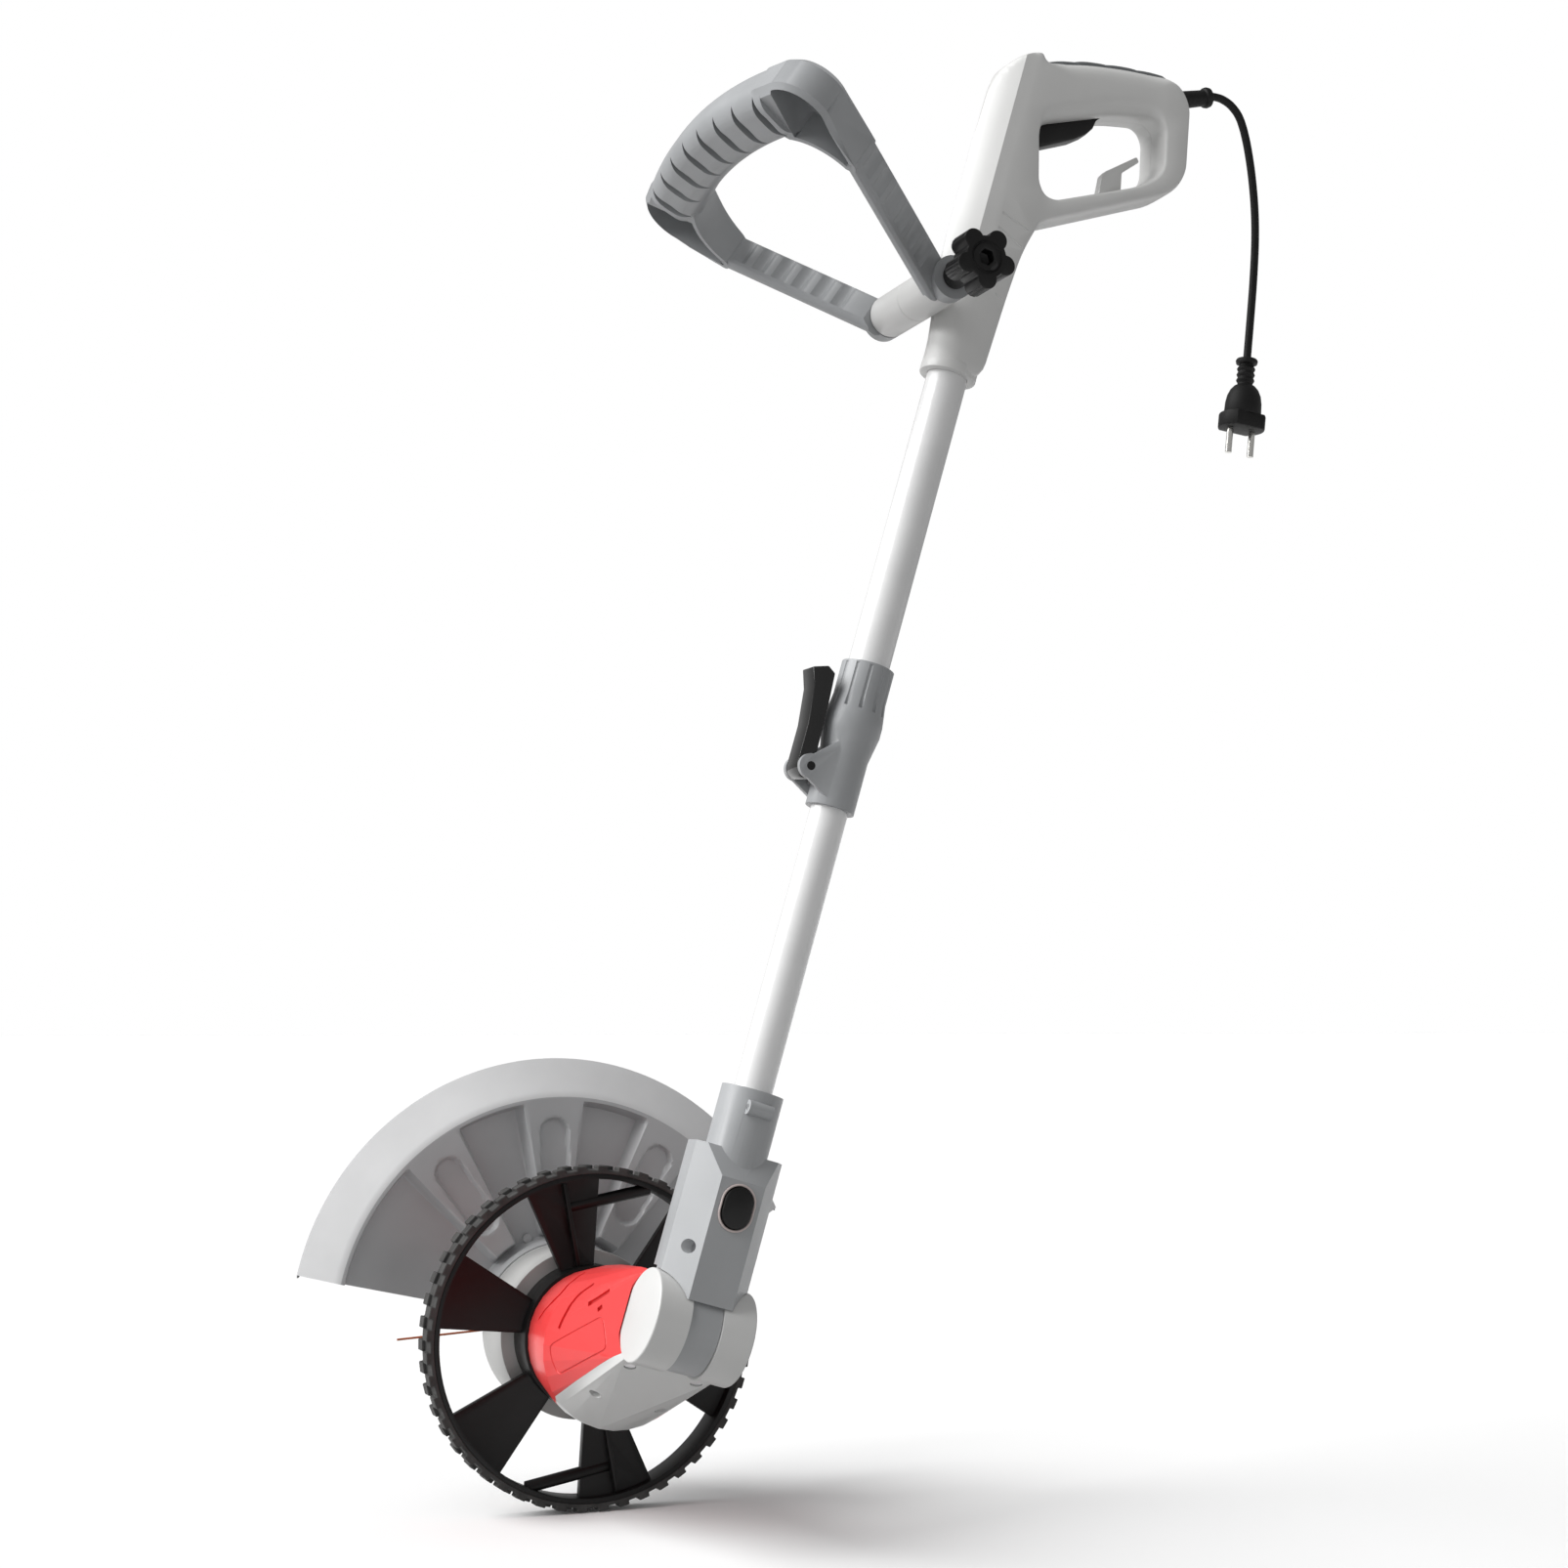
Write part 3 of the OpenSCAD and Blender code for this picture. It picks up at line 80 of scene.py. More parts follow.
ROW = Matrix.Scale(MM, 4)
TOOL = ROW @ Matrix.Rotation(LEAN, 4, "Y") @ Matrix.Translation(-GRIP)
MOTOR = (
    TOOL
    @ Matrix.Translation((0, HEAD_LEN, -HINGE_RISE))
    @ Matrix.Rotation(-QUARTER, 4, "X")
)
PLUG_AT, PLUG_TURN = (122, 0, -188), math.radians(186.52)
PLUG = ROW @ Matrix.Translation(PLUG_AT) @ Matrix.Rotation(PLUG_TURN, 4, "Y")
RELIEF_AT, RELIEF_TURN = (121.04, 0, 967.91), math.radians(61)
RELIEF = TOOL @ Matrix.Translation(RELIEF_AT) @ Matrix.Rotation(RELIEF_TURN, 4, "Y")

# Angles in degrees: what is shaded as a crease, on flat-sided pieces, on small faceted ones, and what is rounded
CREASE, FLAT_CREASE, FACET_CREASE, ROUNDED = 32.0, 14.0, 16.0, 40.0
# Points closer than this are one, in millimetres and, in a node's mesh, in metres
MERGE, NODE_MERGE = 1e-4, 2e-6
# Faces of a node within this angle are one
FLAT = math.radians(0.5)
# Rounding of the edges of pieces that don't have the common one, in metres
EDGES = {
    "motor_cover": 0.0006, "motor_pot": 0.001, "trigger": 0.002, "cord_hook": 0.001, "star_knob": 0.0009,
    "clamp_body": 0.0010, "clamp_lever": 0.0016, "tilt_button": 0.0018, "wheel": 0.0008,
}

BODY_OF = {n: b for b, ns in frame["record"]["behaviour"]["bodies"].items() for n in ns}
SLOT_OF = {s["node"]: s["material_slot"] for s in frame["record"]["subparts"]}
FINISHES = {}


class TrimmerSizes(bpy.types.PropertyGroup):
    """Sizes of the looks that the solids leave open."""

    edge: FloatProperty(
        name="Moulded edge", description="Rounding of moulded edges",
        default=0.0008, min=0.0002, max=0.003, unit="LENGTH",
    )
    cap_edge: FloatProperty(
        name="Hinge cap edge", description="Rounding of the hinge caps",
        default=0.003, min=0.001, max=0.005, unit="LENGTH",
    )
    vent: FloatProperty(
        name="Vents", description="Half width of the cover's vents, in millimetres",
        default=1.8, min=0.8, max=2.5,
    )
    panel_line: FloatProperty(
        name="Panel line", description="Half width of the cover's panel line, in millimetres",
        default=0.7, min=0.3, max=1.5,
    )
    guard_rows: IntProperty(
        name="Guard rows", description="Steps across the guard", default=84, min=20, max=160,
    )
    guard_columns: IntProperty(
        name="Guard columns", description="Steps round the guard", default=230, min=60, max=360,
    )
    cord: FloatProperty(
        name="Lead", description="Diameter of the mains lead",
        default=0.006, min=0.005, max=0.007, unit="LENGTH",
    )


class TrimmerColours(bpy.types.PropertyGroup):
    """Colours of the trimmer's finishes."""

    shell: FloatVectorProperty(
        name="Shell", description="White moulded shells", subtype="COLOR",
        size=3, min=0, max=1, default=(0.70, 0.70, 0.69),
    )
    tube: FloatVectorProperty(
        name="Tube", description="Painted tubes", subtype="COLOR",
        size=3, min=0, max=1, default=(0.87, 0.87, 0.87),
    )
    grey: FloatVectorProperty(
        name="Grey", description="Grey moulded pieces", subtype="COLOR",
        size=3, min=0, max=1, default=(0.36, 0.37, 0.38),
    )
    guard: FloatVectorProperty(
        name="Guard", description="Panels of the guard", subtype="COLOR",
        size=3, min=0, max=1, default=(0.53, 0.535, 0.545),
    )
    # The skirt's colour is the guard's own grey plastic made lighter: painted light for the light its sloping face
    # catches
    skirt: FloatVectorProperty(
        name="Skirt", description="Sloping skirt of the guard", subtype="COLOR",
        size=3, min=0, max=1, default=(0.80, 0.805, 0.81),
    )
    yoke: FloatVectorProperty(
        name="Yoke", description="Grey yoke over the hinge", subtype="COLOR",
        size=3, min=0, max=1, default=(0.40, 0.41, 0.42),
    )
    red: FloatVectorProperty(
        name="Cover", description="Red motor cover", subtype="COLOR",
        size=3, min=0, max=1, default=(0.76, 0.055, 0.055),
    )
    black: FloatVectorProperty(
        name="Black", description="Black moulded pieces", subtype="COLOR",
        size=3, min=0, max=1, default=(0.006, 0.0058, 0.0058),
    )


class StageSettings(bpy.types.PropertyGroup):
    """Camera, light and floor."""

    lens: FloatProperty(
        name="Lens", description="Focal length", default=58.26, min=20, max=200,
        subtype="DISTANCE_CAMERA",
    )
    sun: FloatProperty(
        name="Key light", description="Strength of the key light", default=3.6, min=0, max=10,
    )
    ambient: FloatProperty(
        name="Surround", description="Brightness of the white surround", default=0.40,
        min=0, max=2,
    )
    fill: FloatProperty(
        name="Fill", description="Share by which the surround is brighter low on the left",
        default=0.15, min=0, max=1,
    )
    floor_size: FloatProperty(
        name="Floor", description="Half width of the floor", default=60.0, min=1, max=200,
        unit="LENGTH",
    )
    cord_steps: IntProperty(
        name="Lead steps", description="Points between two places of the lead's route",
        default=6, min=2, max=12,
    )


def sizes():
    return bpy.context.scene.trimmer_sizes


def colours():
    return bpy.context.scene.trimmer_colours


def stage():
    return bpy.context.scene.trimmer_stage


# Finishes

COAT_ROUGH, LEAST_ROUGH, GRAIN_DEPTH = 0.12, 0.02, 0.0004
# Where the cloudy colour's two ends lie, and the detail of the colour's, the gloss's and the grain's noise
CLOUD_ENDS, CLOUD_DETAIL, GLOSS_DETAIL, GRAIN_DETAIL = (0.3, 0.7), 4.0, 3.0, 2.0
# How much finer the gloss changes than the colour
GLOSS_FINER = 4


def finish(name, colour, rough, coat=0.0, metal=0.0, mottle=(35.0, 0.05), grain=(1500.0, 0.12),
           rough_spread=0.06, gleam=0.5):
    """A moulded, painted or metal finish: cloudy colour, uneven gloss and a fine grain."""
    mat = bpy.data.materials.new(name)
    mat.use_nodes = True
    tree = mat.node_tree
    tree.nodes.clear()
    add, link = tree.nodes.new, tree.links.new
    out, shader = add("ShaderNodeOutputMaterial"), add("ShaderNodeBsdfPrincipled")
    where = add("ShaderNodeTexCoord")
    link(shader.outputs["BSDF"], out.inputs["Surface"])
    shader.inputs["Metallic"].default_value = metal
    shader.inputs["Specular IOR Level"].default_value = gleam
    shader.inputs["Coat Weight"].default_value = coat
    shader.inputs["Coat Roughness"].default_value = COAT_ROUGH

    def noise(scale, detail):
        node = add("ShaderNodeTexNoise")
        node.inputs["Scale"].default_value = scale
        node.inputs["Detail"].default_value = detail
        link(where.outputs["Object"], node.inputs["Vector"])
        return node

    cloud = noise(mottle[0], CLOUD_DETAIL)
    ramp = add("ShaderNodeValToRGB")
    shares = (1 - mottle[1], 1 + mottle[1])
    for element, share, place in zip(ramp.color_ramp.elements, shares, CLOUD_ENDS):
        element.position = place
        element.color = [min(1.0, c * share) for c in colour] + [1.0]
    link(cloud.outputs["Fac"], ramp.inputs["Fac"])
    link(ramp.outputs["Color"], shader.inputs["Base Color"])
    gloss = add("ShaderNodeMapRange")
    gloss.inputs["To Min"].default_value = max(LEAST_ROUGH, rough - rough_spread)
    gloss.inputs["To Max"].default_value = rough + rough_spread
    link(noise(mottle[0] * GLOSS_FINER, GLOSS_DETAIL).outputs["Fac"], gloss.inputs["Value"])
    link(gloss.outputs["Result"], shader.inputs["Roughness"])
    bump = add("ShaderNodeBump")
    bump.inputs["Strength"].default_value = grain[1]
    bump.inputs["Distance"].default_value = GRAIN_DEPTH
    link(noise(grain[0], GRAIN_DETAIL).outputs["Fac"], bump.inputs["Height"])
    link(bump.outputs["Normal"], shader.inputs["Normal"])
    FINISHES[name] = mat
    return mat


# Shapes


def spun(bm, profile, steps=96, closed=True):
    """A full turn about z of a profile of radius and height."""
    verts = [bm.verts.new((r, 0, z)) for r, z in profile]
    pairs = list(zip(verts, verts[1:])) + ([(verts[-1], verts[0])] if closed else [])
    edges = [bm.edges.new(p) for p in pairs]
    bmesh.ops.spin(
        bm, geom=verts + edges, cent=(0, 0, 0), axis=(0, 0, 1), angle=TURN, steps=steps, use_merge=True
    )
    bmesh.ops.remove_doubles(bm, verts=bm.verts, dist=MERGE)


def drawn(bm, outline, low, high, place=None):
    """An outline of x and z drawn out along y."""
    face = bm.faces.new([bm.verts.new((x, low, z)) for x, z in outline])
    made = bmesh.ops.extrude_face_region(bm, geom=[face])["geom"]
    verts = [v for v in made if isinstance(v, bmesh.types.BMVert)]
    bmesh.ops.translate(bm, vec=(0, high - low, 0), verts=verts)
    if place:
        bmesh.ops.transform(bm, matrix=place, verts=verts + list(face.verts))


def ring(bm, points):
    """A closed loop of edges."""
    verts = [bm.verts.new(p) for p in points]
    return [bm.edges.new(p) for p in zip(verts, verts[1:] + verts[:1])]


def lofted(bm, rings, capped=True):
    """A skin over rings that have the same number of points."""
    loops = [ring(bm, r) for r in rings]
    for a, b in zip(loops, loops[1:]):
        bmesh.ops.bridge_loops(bm, edges=a + b)
    if capped:
        for loop in (loops[0], loops[-1]):
            bmesh.ops.contextual_create(bm, geom=loop)
    return loops


def softened(points, radius, steps):
    """An outline with its corners rounded, each over less than half of its sides."""
    most = 0.48
    soft = []
    for i, p in enumerate(points):
        p = Vector(p)
        a, b = Vector(points[i - 1]), Vector(points[(i + 1) % len(points)])
        la, lb = (a - p).length, (b - p).length
        reach = min(radius, most * la, most * lb)
        start, end = p + (a - p) * (reach / la), p + (b - p) * (reach / lb)
        for k in range(steps + 1):
            t = k / steps
            soft.append(tuple(start * (1 - t) ** 2 + p * (2 * t * (1 - t)) + end * t * t))
    return soft


def eased(low, high, x):
    """A smooth step from 0 at low to 1 at high."""
    t = min(1.0, max(0.0, (x - low) / (high - low)))
    return t * t * (3 - 2 * t)


def bevelled(bm, edges, width, segments=2):
    """Rounds some edges of a mesh."""
    if edges:
        bmesh.ops.bevel(
            bm, geom=edges, offset=width, offset_type="OFFSET", segments=segments, profile=0.5,
            affect="EDGES", clamp_overlap=True, material=-1,
        )


def sharp_edges(bm, degrees=ROUNDED):
    """Edges where two faces meet at more than an angle."""
    limit = math.radians(degrees)
    return [e for e in bm.edges if len(e.link_faces) == 2 and e.calc_face_angle(0.0) > limit]


def outwards(bm):
    """Turns the faces of closed shells outwards."""
    bmesh.ops.remove_doubles(bm, verts=bm.verts, dist=MERGE)
    bmesh.ops.recalc_face_normals(bm, faces=bm.faces)


def smooth_route(points, steps):
    """A smooth line through points, and its length."""
    pts = [Vector(p) for p in points]
    line = []
    for i in range(len(pts) - 1):
        a, b, c, d = pts[max(i - 1, 0)], pts[i], pts[i + 1], pts[min(i + 2, len(pts) - 1)]
        for k in range(steps):
            t = k / steps
            line.append(
                0.5 * (2 * b + (c - a) * t + (2 * a - 5 * b + 4 * c - d) * t * t + (3 * b - a - 3 * c + d) * t ** 3)
            )
    line.append(pts[-1])
    return line, sum((q - p).length for p, q in zip(line, line[1:]))


def pushed(points, inset, share=lambda p: 1.0):
    """A counter-clockwise outline drawn in by a distance, or by a share of it that goes by place."""
    moved = []
    for i, p in enumerate(points):
        p, a, b = Vector(p), Vector(points[i - 1]), Vector(points[(i + 1) % len(points)])
        m, n = (p - a).normalized(), (b - p).normalized()
        m, n = Vector((-m.y, m.x)), Vector((-n.y, n.x))
        moved.append(tuple(p + (m + n) * (inset * share(p) / (1 + m.dot(n)))))
    return moved


TUBE_STEPS = 6


def tube(bm, points, radius, sides=12, closed=False):
    """A round bar along a smooth line through points, or along a closed line, in the same units."""
    line = [Vector(p) for p in points] if closed else smooth_route(points, TUBE_STEPS)[0]
    rings = []
    for i, p in enumerate(line):
        if closed:
            way = (line[(i + 1) % len(line)] - line[i - 1]).normalized()
        else:
            way = (line[min(i + 1, len(line) - 1)] - line[max(i - 1, 0)]).normalized()
        side = way.orthogonal().normalized() if i == 0 else (side - way * side.dot(way)).normalized()
        up = way.cross(side)
        rings.append([
            p + (side * math.cos(TURN * k / sides) + up * math.sin(TURN * k / sides)) * radius
            for k in range(sides)
        ])
    loops = lofted(bm, rings, capped=not closed)
    if closed:
        bmesh.ops.bridge_loops(bm, edges=loops[-1] + loops[0])


def cylinder(bm, r, start, end, sides=48):
    """A cylinder between two places."""
    start, end = Vector(start), Vector(end)
    place = (end - start).to_track_quat("Z", "Y").to_matrix().to_4x4()
    place.translation = (start + end) / 2
    bmesh.ops.create_cone(
        bm, cap_ends=True, segments=sides, radius1=r, radius2=r, depth=(end - start).length, matrix=place
    )


def piece(bm, name, place, body, finish_name, nodes=(), slot=None, sharp=CREASE):
    """Makes the mesh a piece of the trimmer that rides on a body and stands for its nodes."""
    bmesh.ops.transform(bm, matrix=place, verts=bm.verts)
    mesh = bpy.data.meshes.new(name)
    bm.to_mesh(mesh)
    bm.free()
    obj = bpy.data.objects.new(name, mesh)
    bpy.context.scene.collection.objects.link(obj)
    mesh.materials.append(FINISHES[finish_name])
    mesh.shade_smooth()
    mesh.set_sharp_from_angle(angle=math.radians(sharp))
    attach(obj, body)
    if nodes:
        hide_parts(*nodes)
        slot = slot or SLOT_OF[nodes[0]]
    return obj


def node_copy(node):
    """A merged copy of a node's mesh, in metres."""
    bm = bmesh.new()
    bm.from_mesh(frame["nodes"][node].data)
    bmesh.ops.remove_doubles(bm, verts=bm.verts, dist=NODE_MERGE)
    bmesh.ops.dissolve_limit(
        bm, angle_limit=FLAT, verts=bm.verts, edges=bm.edges, use_dissolve_boundaries=False
    )
    return bm


def dressed(node, finish_name, sharp=CREASE):
    """A node's own shape with its edges rounded."""
    bm = node_copy(node)
    bevelled(bm, sharp_edges(bm), EDGES.get(node, sizes().edge))
    return piece(bm, node + "_skin", Matrix.Identity(4), BODY_OF[node], finish_name, [node], sharp=sharp)


def painted(node, finish_name):
    """A node that keeps its own shape and gets its finish."""
    mesh = frame["nodes"][node].data
    mesh.materials.clear()
    mesh.materials.append(FINISHES[finish_name])


def carved(obj, cutter, sharp=CREASE):
    """Cuts a mesh, in metres, out of a piece."""
    mesh = bpy.data.meshes.new("cutter")
    bmesh.ops.recalc_face_normals(cutter, faces=cutter.faces)
    cutter.to_mesh(mesh)
    cutter.free()
    tool = bpy.data.objects.new("cutter", mesh)
    bpy.context.scene.collection.objects.link(tool)
    cut = obj.modifiers.new("cut", "BOOLEAN")
    cut.operation, cut.solver, cut.object = "DIFFERENCE", "EXACT", tool
    whole = bpy.data.meshes.new_from_object(obj.evaluated_get(bpy.context.evaluated_depsgraph_get()))
    if len(whole.polygons) < len(obj.data.polygons) // 2:
        raise RuntimeError(f"cutting {obj.name} left too little of it")
    obj.modifiers.clear()
    obj.data = whole
    whole.set_sharp_from_angle(angle=math.radians(sharp))
    bpy.data.objects.remove(tool)


# Operators

# The photograph's camera: its place and its axes to the right, up and back
CAMERA_AT, SENSOR = (-0.9140, -1.6083, -0.6859), 36.0
CAMERA_AXES = ((0.9256, -0.3785, 0.0), (-0.0351, -0.0858, 0.9957), (-0.3769, -0.9216, -0.0927))
# The key light's way and spread, and the way to the surround's brighter part
SUN_WAY, SUN_SPREAD, GLOW_WAY = (0.8, -0.12, -0.66), math.radians(50), (-0.75, -0.05, -0.66)
WHITE = (1, 1, 1, 1)
FLOOR_COLOUR, FLOOR_ROUGH, FLOOR_GAP, FLOOR_CELLS = (0.97, 0.97, 0.97), 0.8, 0.0005, 8


class BuildStage(bpy.types.Operator):
    """Camera, white surround, key light and pale floor."""

    bl_idname = "trimmer.stage"
    bl_label = "Stage"

    def execute(self, context):
        scene, s = context.scene, stage()
        camera = bpy.data.objects.new("camera", bpy.data.cameras.new("camera"))
        camera.data.lens, camera.data.sensor_width = s.lens, SENSOR
        axes = Matrix(CAMERA_AXES).transposed().to_4x4()
        camera.matrix_world = Matrix.Translation(CAMERA_AT) @ axes
        scene.collection.objects.link(camera)
        scene.camera = camera
        scene.view_settings.view_transform = "Standard"

        world = bpy.data.worlds.new("surround")
        scene.world = world
        world.use_nodes = True
        tree = world.node_tree
        tree.nodes.clear()
        add, link = tree.nodes.new, tree.links.new
        out, mix, rays = add("ShaderNodeOutputWorld"), add("ShaderNodeMixShader"), add("ShaderNodeLightPath")
        around, seen = add("ShaderNodeBackground"), add("ShaderNodeBackground")
        seen.inputs["Strength"].default_value = 1.0
        where, facing, glow = add("ShaderNodeTexCoord"), add("ShaderNodeVectorMath"), add("ShaderNodeMapRange")
        facing.operation = "DOT_PRODUCT"
        facing.inputs[1].default_value = GLOW_WAY
        glow.inputs["From Min"].default_value = -1.0
        glow.inputs["To Min"].default_value = s.ambient * (1 - s.fill)
        glow.inputs["To Max"].default_value = s.ambient * (1 + s.fill)
        link(where.outputs["Generated"], facing.inputs[0])
        link(facing.outputs["Value"], glow.inputs["Value"])
        link(glow.outputs["Result"], around.inputs["Strength"])
        for node in (around, seen):
            node.inputs["Color"].default_value = WHITE
        link(rays.outputs["Is Camera Ray"], mix.inputs["Fac"])
        link(around.outputs["Background"], mix.inputs[1])
        link(seen.outputs["Background"], mix.inputs[2])
        link(mix.outputs["Shader"], out.inputs["Surface"])

        sun = bpy.data.objects.new("key_light", bpy.data.lights.new("key_light", "SUN"))
        sun.data.energy, sun.data.angle = s.sun, SUN_SPREAD
        sun.rotation_euler = Vector(SUN_WAY).to_track_quat("-Z", "Y").to_euler()
        scene.collection.objects.link(sun)

        bm = bmesh.new()
        bmesh.ops.create_grid(bm, x_segments=FLOOR_CELLS, y_segments=FLOOR_CELLS, size=s.floor_size)
        bmesh.ops.translate(bm, vec=(0, 0, CAD_BOX[0].z - FLOOR_GAP), verts=bm.verts)
        mesh = bpy.data.meshes.new("floor")
        bm.to_mesh(mesh)
        bm.free()
        floor = bpy.data.objects.new("floor", mesh)
        scene.collection.objects.link(floor)
        mesh.materials.append(finish("floor", FLOOR_COLOUR, FLOOR_ROUGH, mottle=(2.0, 0.004), grain=(60.0, 0.0)))
        floor.visible_diffuse = False
        return {"FINISHED"}


class BuildFinishes(bpy.types.Operator):
    """The trimmer's finishes."""

    bl_idname = "trimmer.finishes"
    bl_label = "Finishes"

    def execute(self, context):
        c = colours()
        finish("white_shell", c.shell, 0.38, coat=0.15, mottle=(18.0, 0.03))
        finish("white_tube", c.tube, 0.24, coat=0.4, mottle=(26.0, 0.03), grain=(300.0, 0.03))
        finish("grey_shell", c.grey, 0.42, coat=0.08, mottle=(24.0, 0.06))
        finish("guard_panel", c.guard, 0.40, coat=0.10, mottle=(16.0, 0.07), grain=(1100.0, 0.10))
        # The same plastic as the guard's panels, made lighter: painted light on the sloping skirt
        finish("guard_skirt_painted_light", c.skirt, 0.42, coat=0.10, mottle=(16.0, 0.05), grain=(1100.0, 0.10))
        finish("pot_grey", (0.52, 0.52, 0.51), 0.40, mottle=(20.0, 0.05))
        finish("soft_inlay", (0.13, 0.137, 0.142), 0.62, mottle=(60.0, 0.08), grain=(2200.0, 0.3))
        finish("red_cover", c.red, 0.36, coat=0.1, mottle=(22.0, 0.04), grain=(1300.0, 0.06), gleam=0.35)
        finish("black_shell", c.black, 0.40, mottle=(40.0, 0.2), gleam=0.25)
        finish("black_gloss", c.black, 0.16, coat=0.3, mottle=(40.0, 0.2))
        finish("black_rubber", (0.008, 0.008, 0.008), 0.55, mottle=(60.0, 0.25), grain=(900.0, 0.25), gleam=0.2)
        finish("tread_rubber", (0.050, 0.049, 0.048), 0.66, mottle=(90.0, 0.35), grain=(700.0, 0.5), gleam=0.3)
        finish("yoke_grey", c.yoke, 0.42, coat=0.06, mottle=(24.0, 0.05))
        finish("bezel_pale", (0.62, 0.53, 0.51), 0.36, mottle=(60.0, 0.05))
        finish("bare_steel", (0.56, 0.56, 0.57), 0.30, metal=1.0, mottle=(80.0, 0.08), grain=(2500.0, 0.05))
        finish("bright_pin", (0.70, 0.69, 0.66), 0.16, metal=1.0, mottle=(120.0, 0.06), grain=(2500.0, 0.02))
        finish("copper_wound", (0.50, 0.23, 0.10), 0.40, metal=0.8, mottle=(200.0, 0.25), grain=(600.0, 0.6))
        finish("line_orange", (0.55, 0.13, 0.04), 0.35, mottle=(400.0, 0.15))
        return {"FINISHED"}


# The lead's route in the part's frame
CORD_ROUTE = [
    (94, 0, 12.4), (97, 0, 12.5), (101.7, 0, 12.1), (106.2, 0, 10.7), (110.3, 0, 8.6), (114, 0, 5.6),
    (117.1, 0, 2.1), (119.5, 0, -2), (121.3, 0, -6.5), (123.3, 0, -13), (126, 0, -25), (129, 0, -45),
    (131, 0, -70), (131, 0, -95), (129, 0, -124), (126, 0, -153), PLUG_AT,
]
# The plug along its axis from the lead: neck with ribs, round shoulder, and a flange of two arcs with flat sides
PLUG_RIBS = [
    (r, 6.8 + 4.4 * i + up) for i in range(3) for r, up in ((6.5, 0.6), (6.9, 1.6), (6.5, 2.6), (5.4, 3.5))
]
PLUG_PROFILE = [
    (0, 0.2), (3, 0), (7.8, 0.3), (8.3, 2.2), (7.8, 4.2), (5.6, 5.2), (5.3, 6.4), *PLUG_RIBS, (5.8, 20.6),
    (8, 22), (10.6, 25), (12.6, 29.5), (13.6, 35), (14, 45), (0, 45),
]
PLUG_R, FLANGE_AT, FLANGE_H, FLANGE_EDGE, FLANGE_SHARP = 17.5, 44, 11.5, 1.2, 60
FLANGE_TURNS = [math.radians(a) for a in range(-48, 49, 8)]
RELIEF_PROFILE = [
    (0, -5), (6.5, -5), (6.5, 6), (6.1, 20), (6.3, 22.5), (7.4, 23.6), (7.8, 25.6), (7.2, 27.8), (5, 29.6), (0, 30),
]
LEAD_SIDES = 5
# Turns what is drawn along y to run along z
TIP = Matrix.Rotation(QUARTER, 4, "X")


class BuildLead(bpy.types.Operator):
    """The mains lead, its strain relief and its plug."""

    bl_idname = "trimmer.lead"
    bl_label = "Mains lead"

    def execute(self, context):
        bm = bmesh.new()
        spun(bm, PLUG_PROFILE, closed=False)
        half = [(PLUG_R * math.cos(a), PLUG_R * math.sin(a)) for a in FLANGE_TURNS]
        flange = half + [(-x, -z) for x, z in half]
        drawn(bm, flange, 0, FLANGE_H, Matrix.Translation((0, 0, FLANGE_AT)) @ TIP)
        outwards(bm)
        bevelled(bm, sharp_edges(bm, FLANGE_SHARP), FLANGE_EDGE)
        plug = piece(bm, "plug_moulding", PLUG, BODY_OF["plug_body"], "black_rubber", ["plug_body"])
        bm = bmesh.new()
        spun(bm, RELIEF_PROFILE, closed=False)
        outwards(bm)
        piece(bm, "relief_sleeve", RELIEF, "handle", "black_rubber", ["strain_relief"])
        painted("plug_pins", "bright_pin")
        line, length = smooth_route(CORD_ROUTE, stage().cord_steps)
        curve = bpy.data.curves.new("mains_lead", "CURVE")
        curve.dimensions, curve.bevel_depth, curve.bevel_resolution = "3D", sizes().cord / 2, LEAD_SIDES
        curve.use_fill_caps = True
        spline = curve.splines.new("POLY")
        spline.points.add(len(line) - 1)
        for point, place in zip(spline.points, line):
            point.co = (*(place * MM), 1)
        curve.materials.append(FINISHES["black_rubber"])
        lead = bpy.data.objects.new("mains_lead", curve)
        context.scene.collection.objects.link(lead)
        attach(lead, "handle")
        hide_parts("mains_cord")
        return {"FINISHED"}


# Sizes of the guard in the motor's frame: heights run to the cutting side from the wheel's middle plane
GUARD_IN, GUARD_STEP, GUARD_OUT = 62.1, 172.0, 201.0
GUARD_FROM, GUARD_TO = math.radians(40.5), math.radians(184.0)
GUARD_TOP, GUARD_PANEL, GUARD_RIM, GUARD_COLLAR = 69.0, 83.0, 89.0, 63.6
GUARD_SKIN = 2.4
BANDS = [math.radians(74 + 34.5 * i) for i in range(3)]
BAND_HALF, BAND_IN = math.radians(9), 70.0
RECESS_IN, RECESS_OUT, RECESS_R, RECESS_D = 101.0, 145.0, 11.0, 4.5
SOFT = 3.0
# Steps across the skirt, and the width of the rim that keeps the panels' own colour rather than the skirt's painted
# light
SKIRT_STEPS, RIM_LINE = 6, 0.1


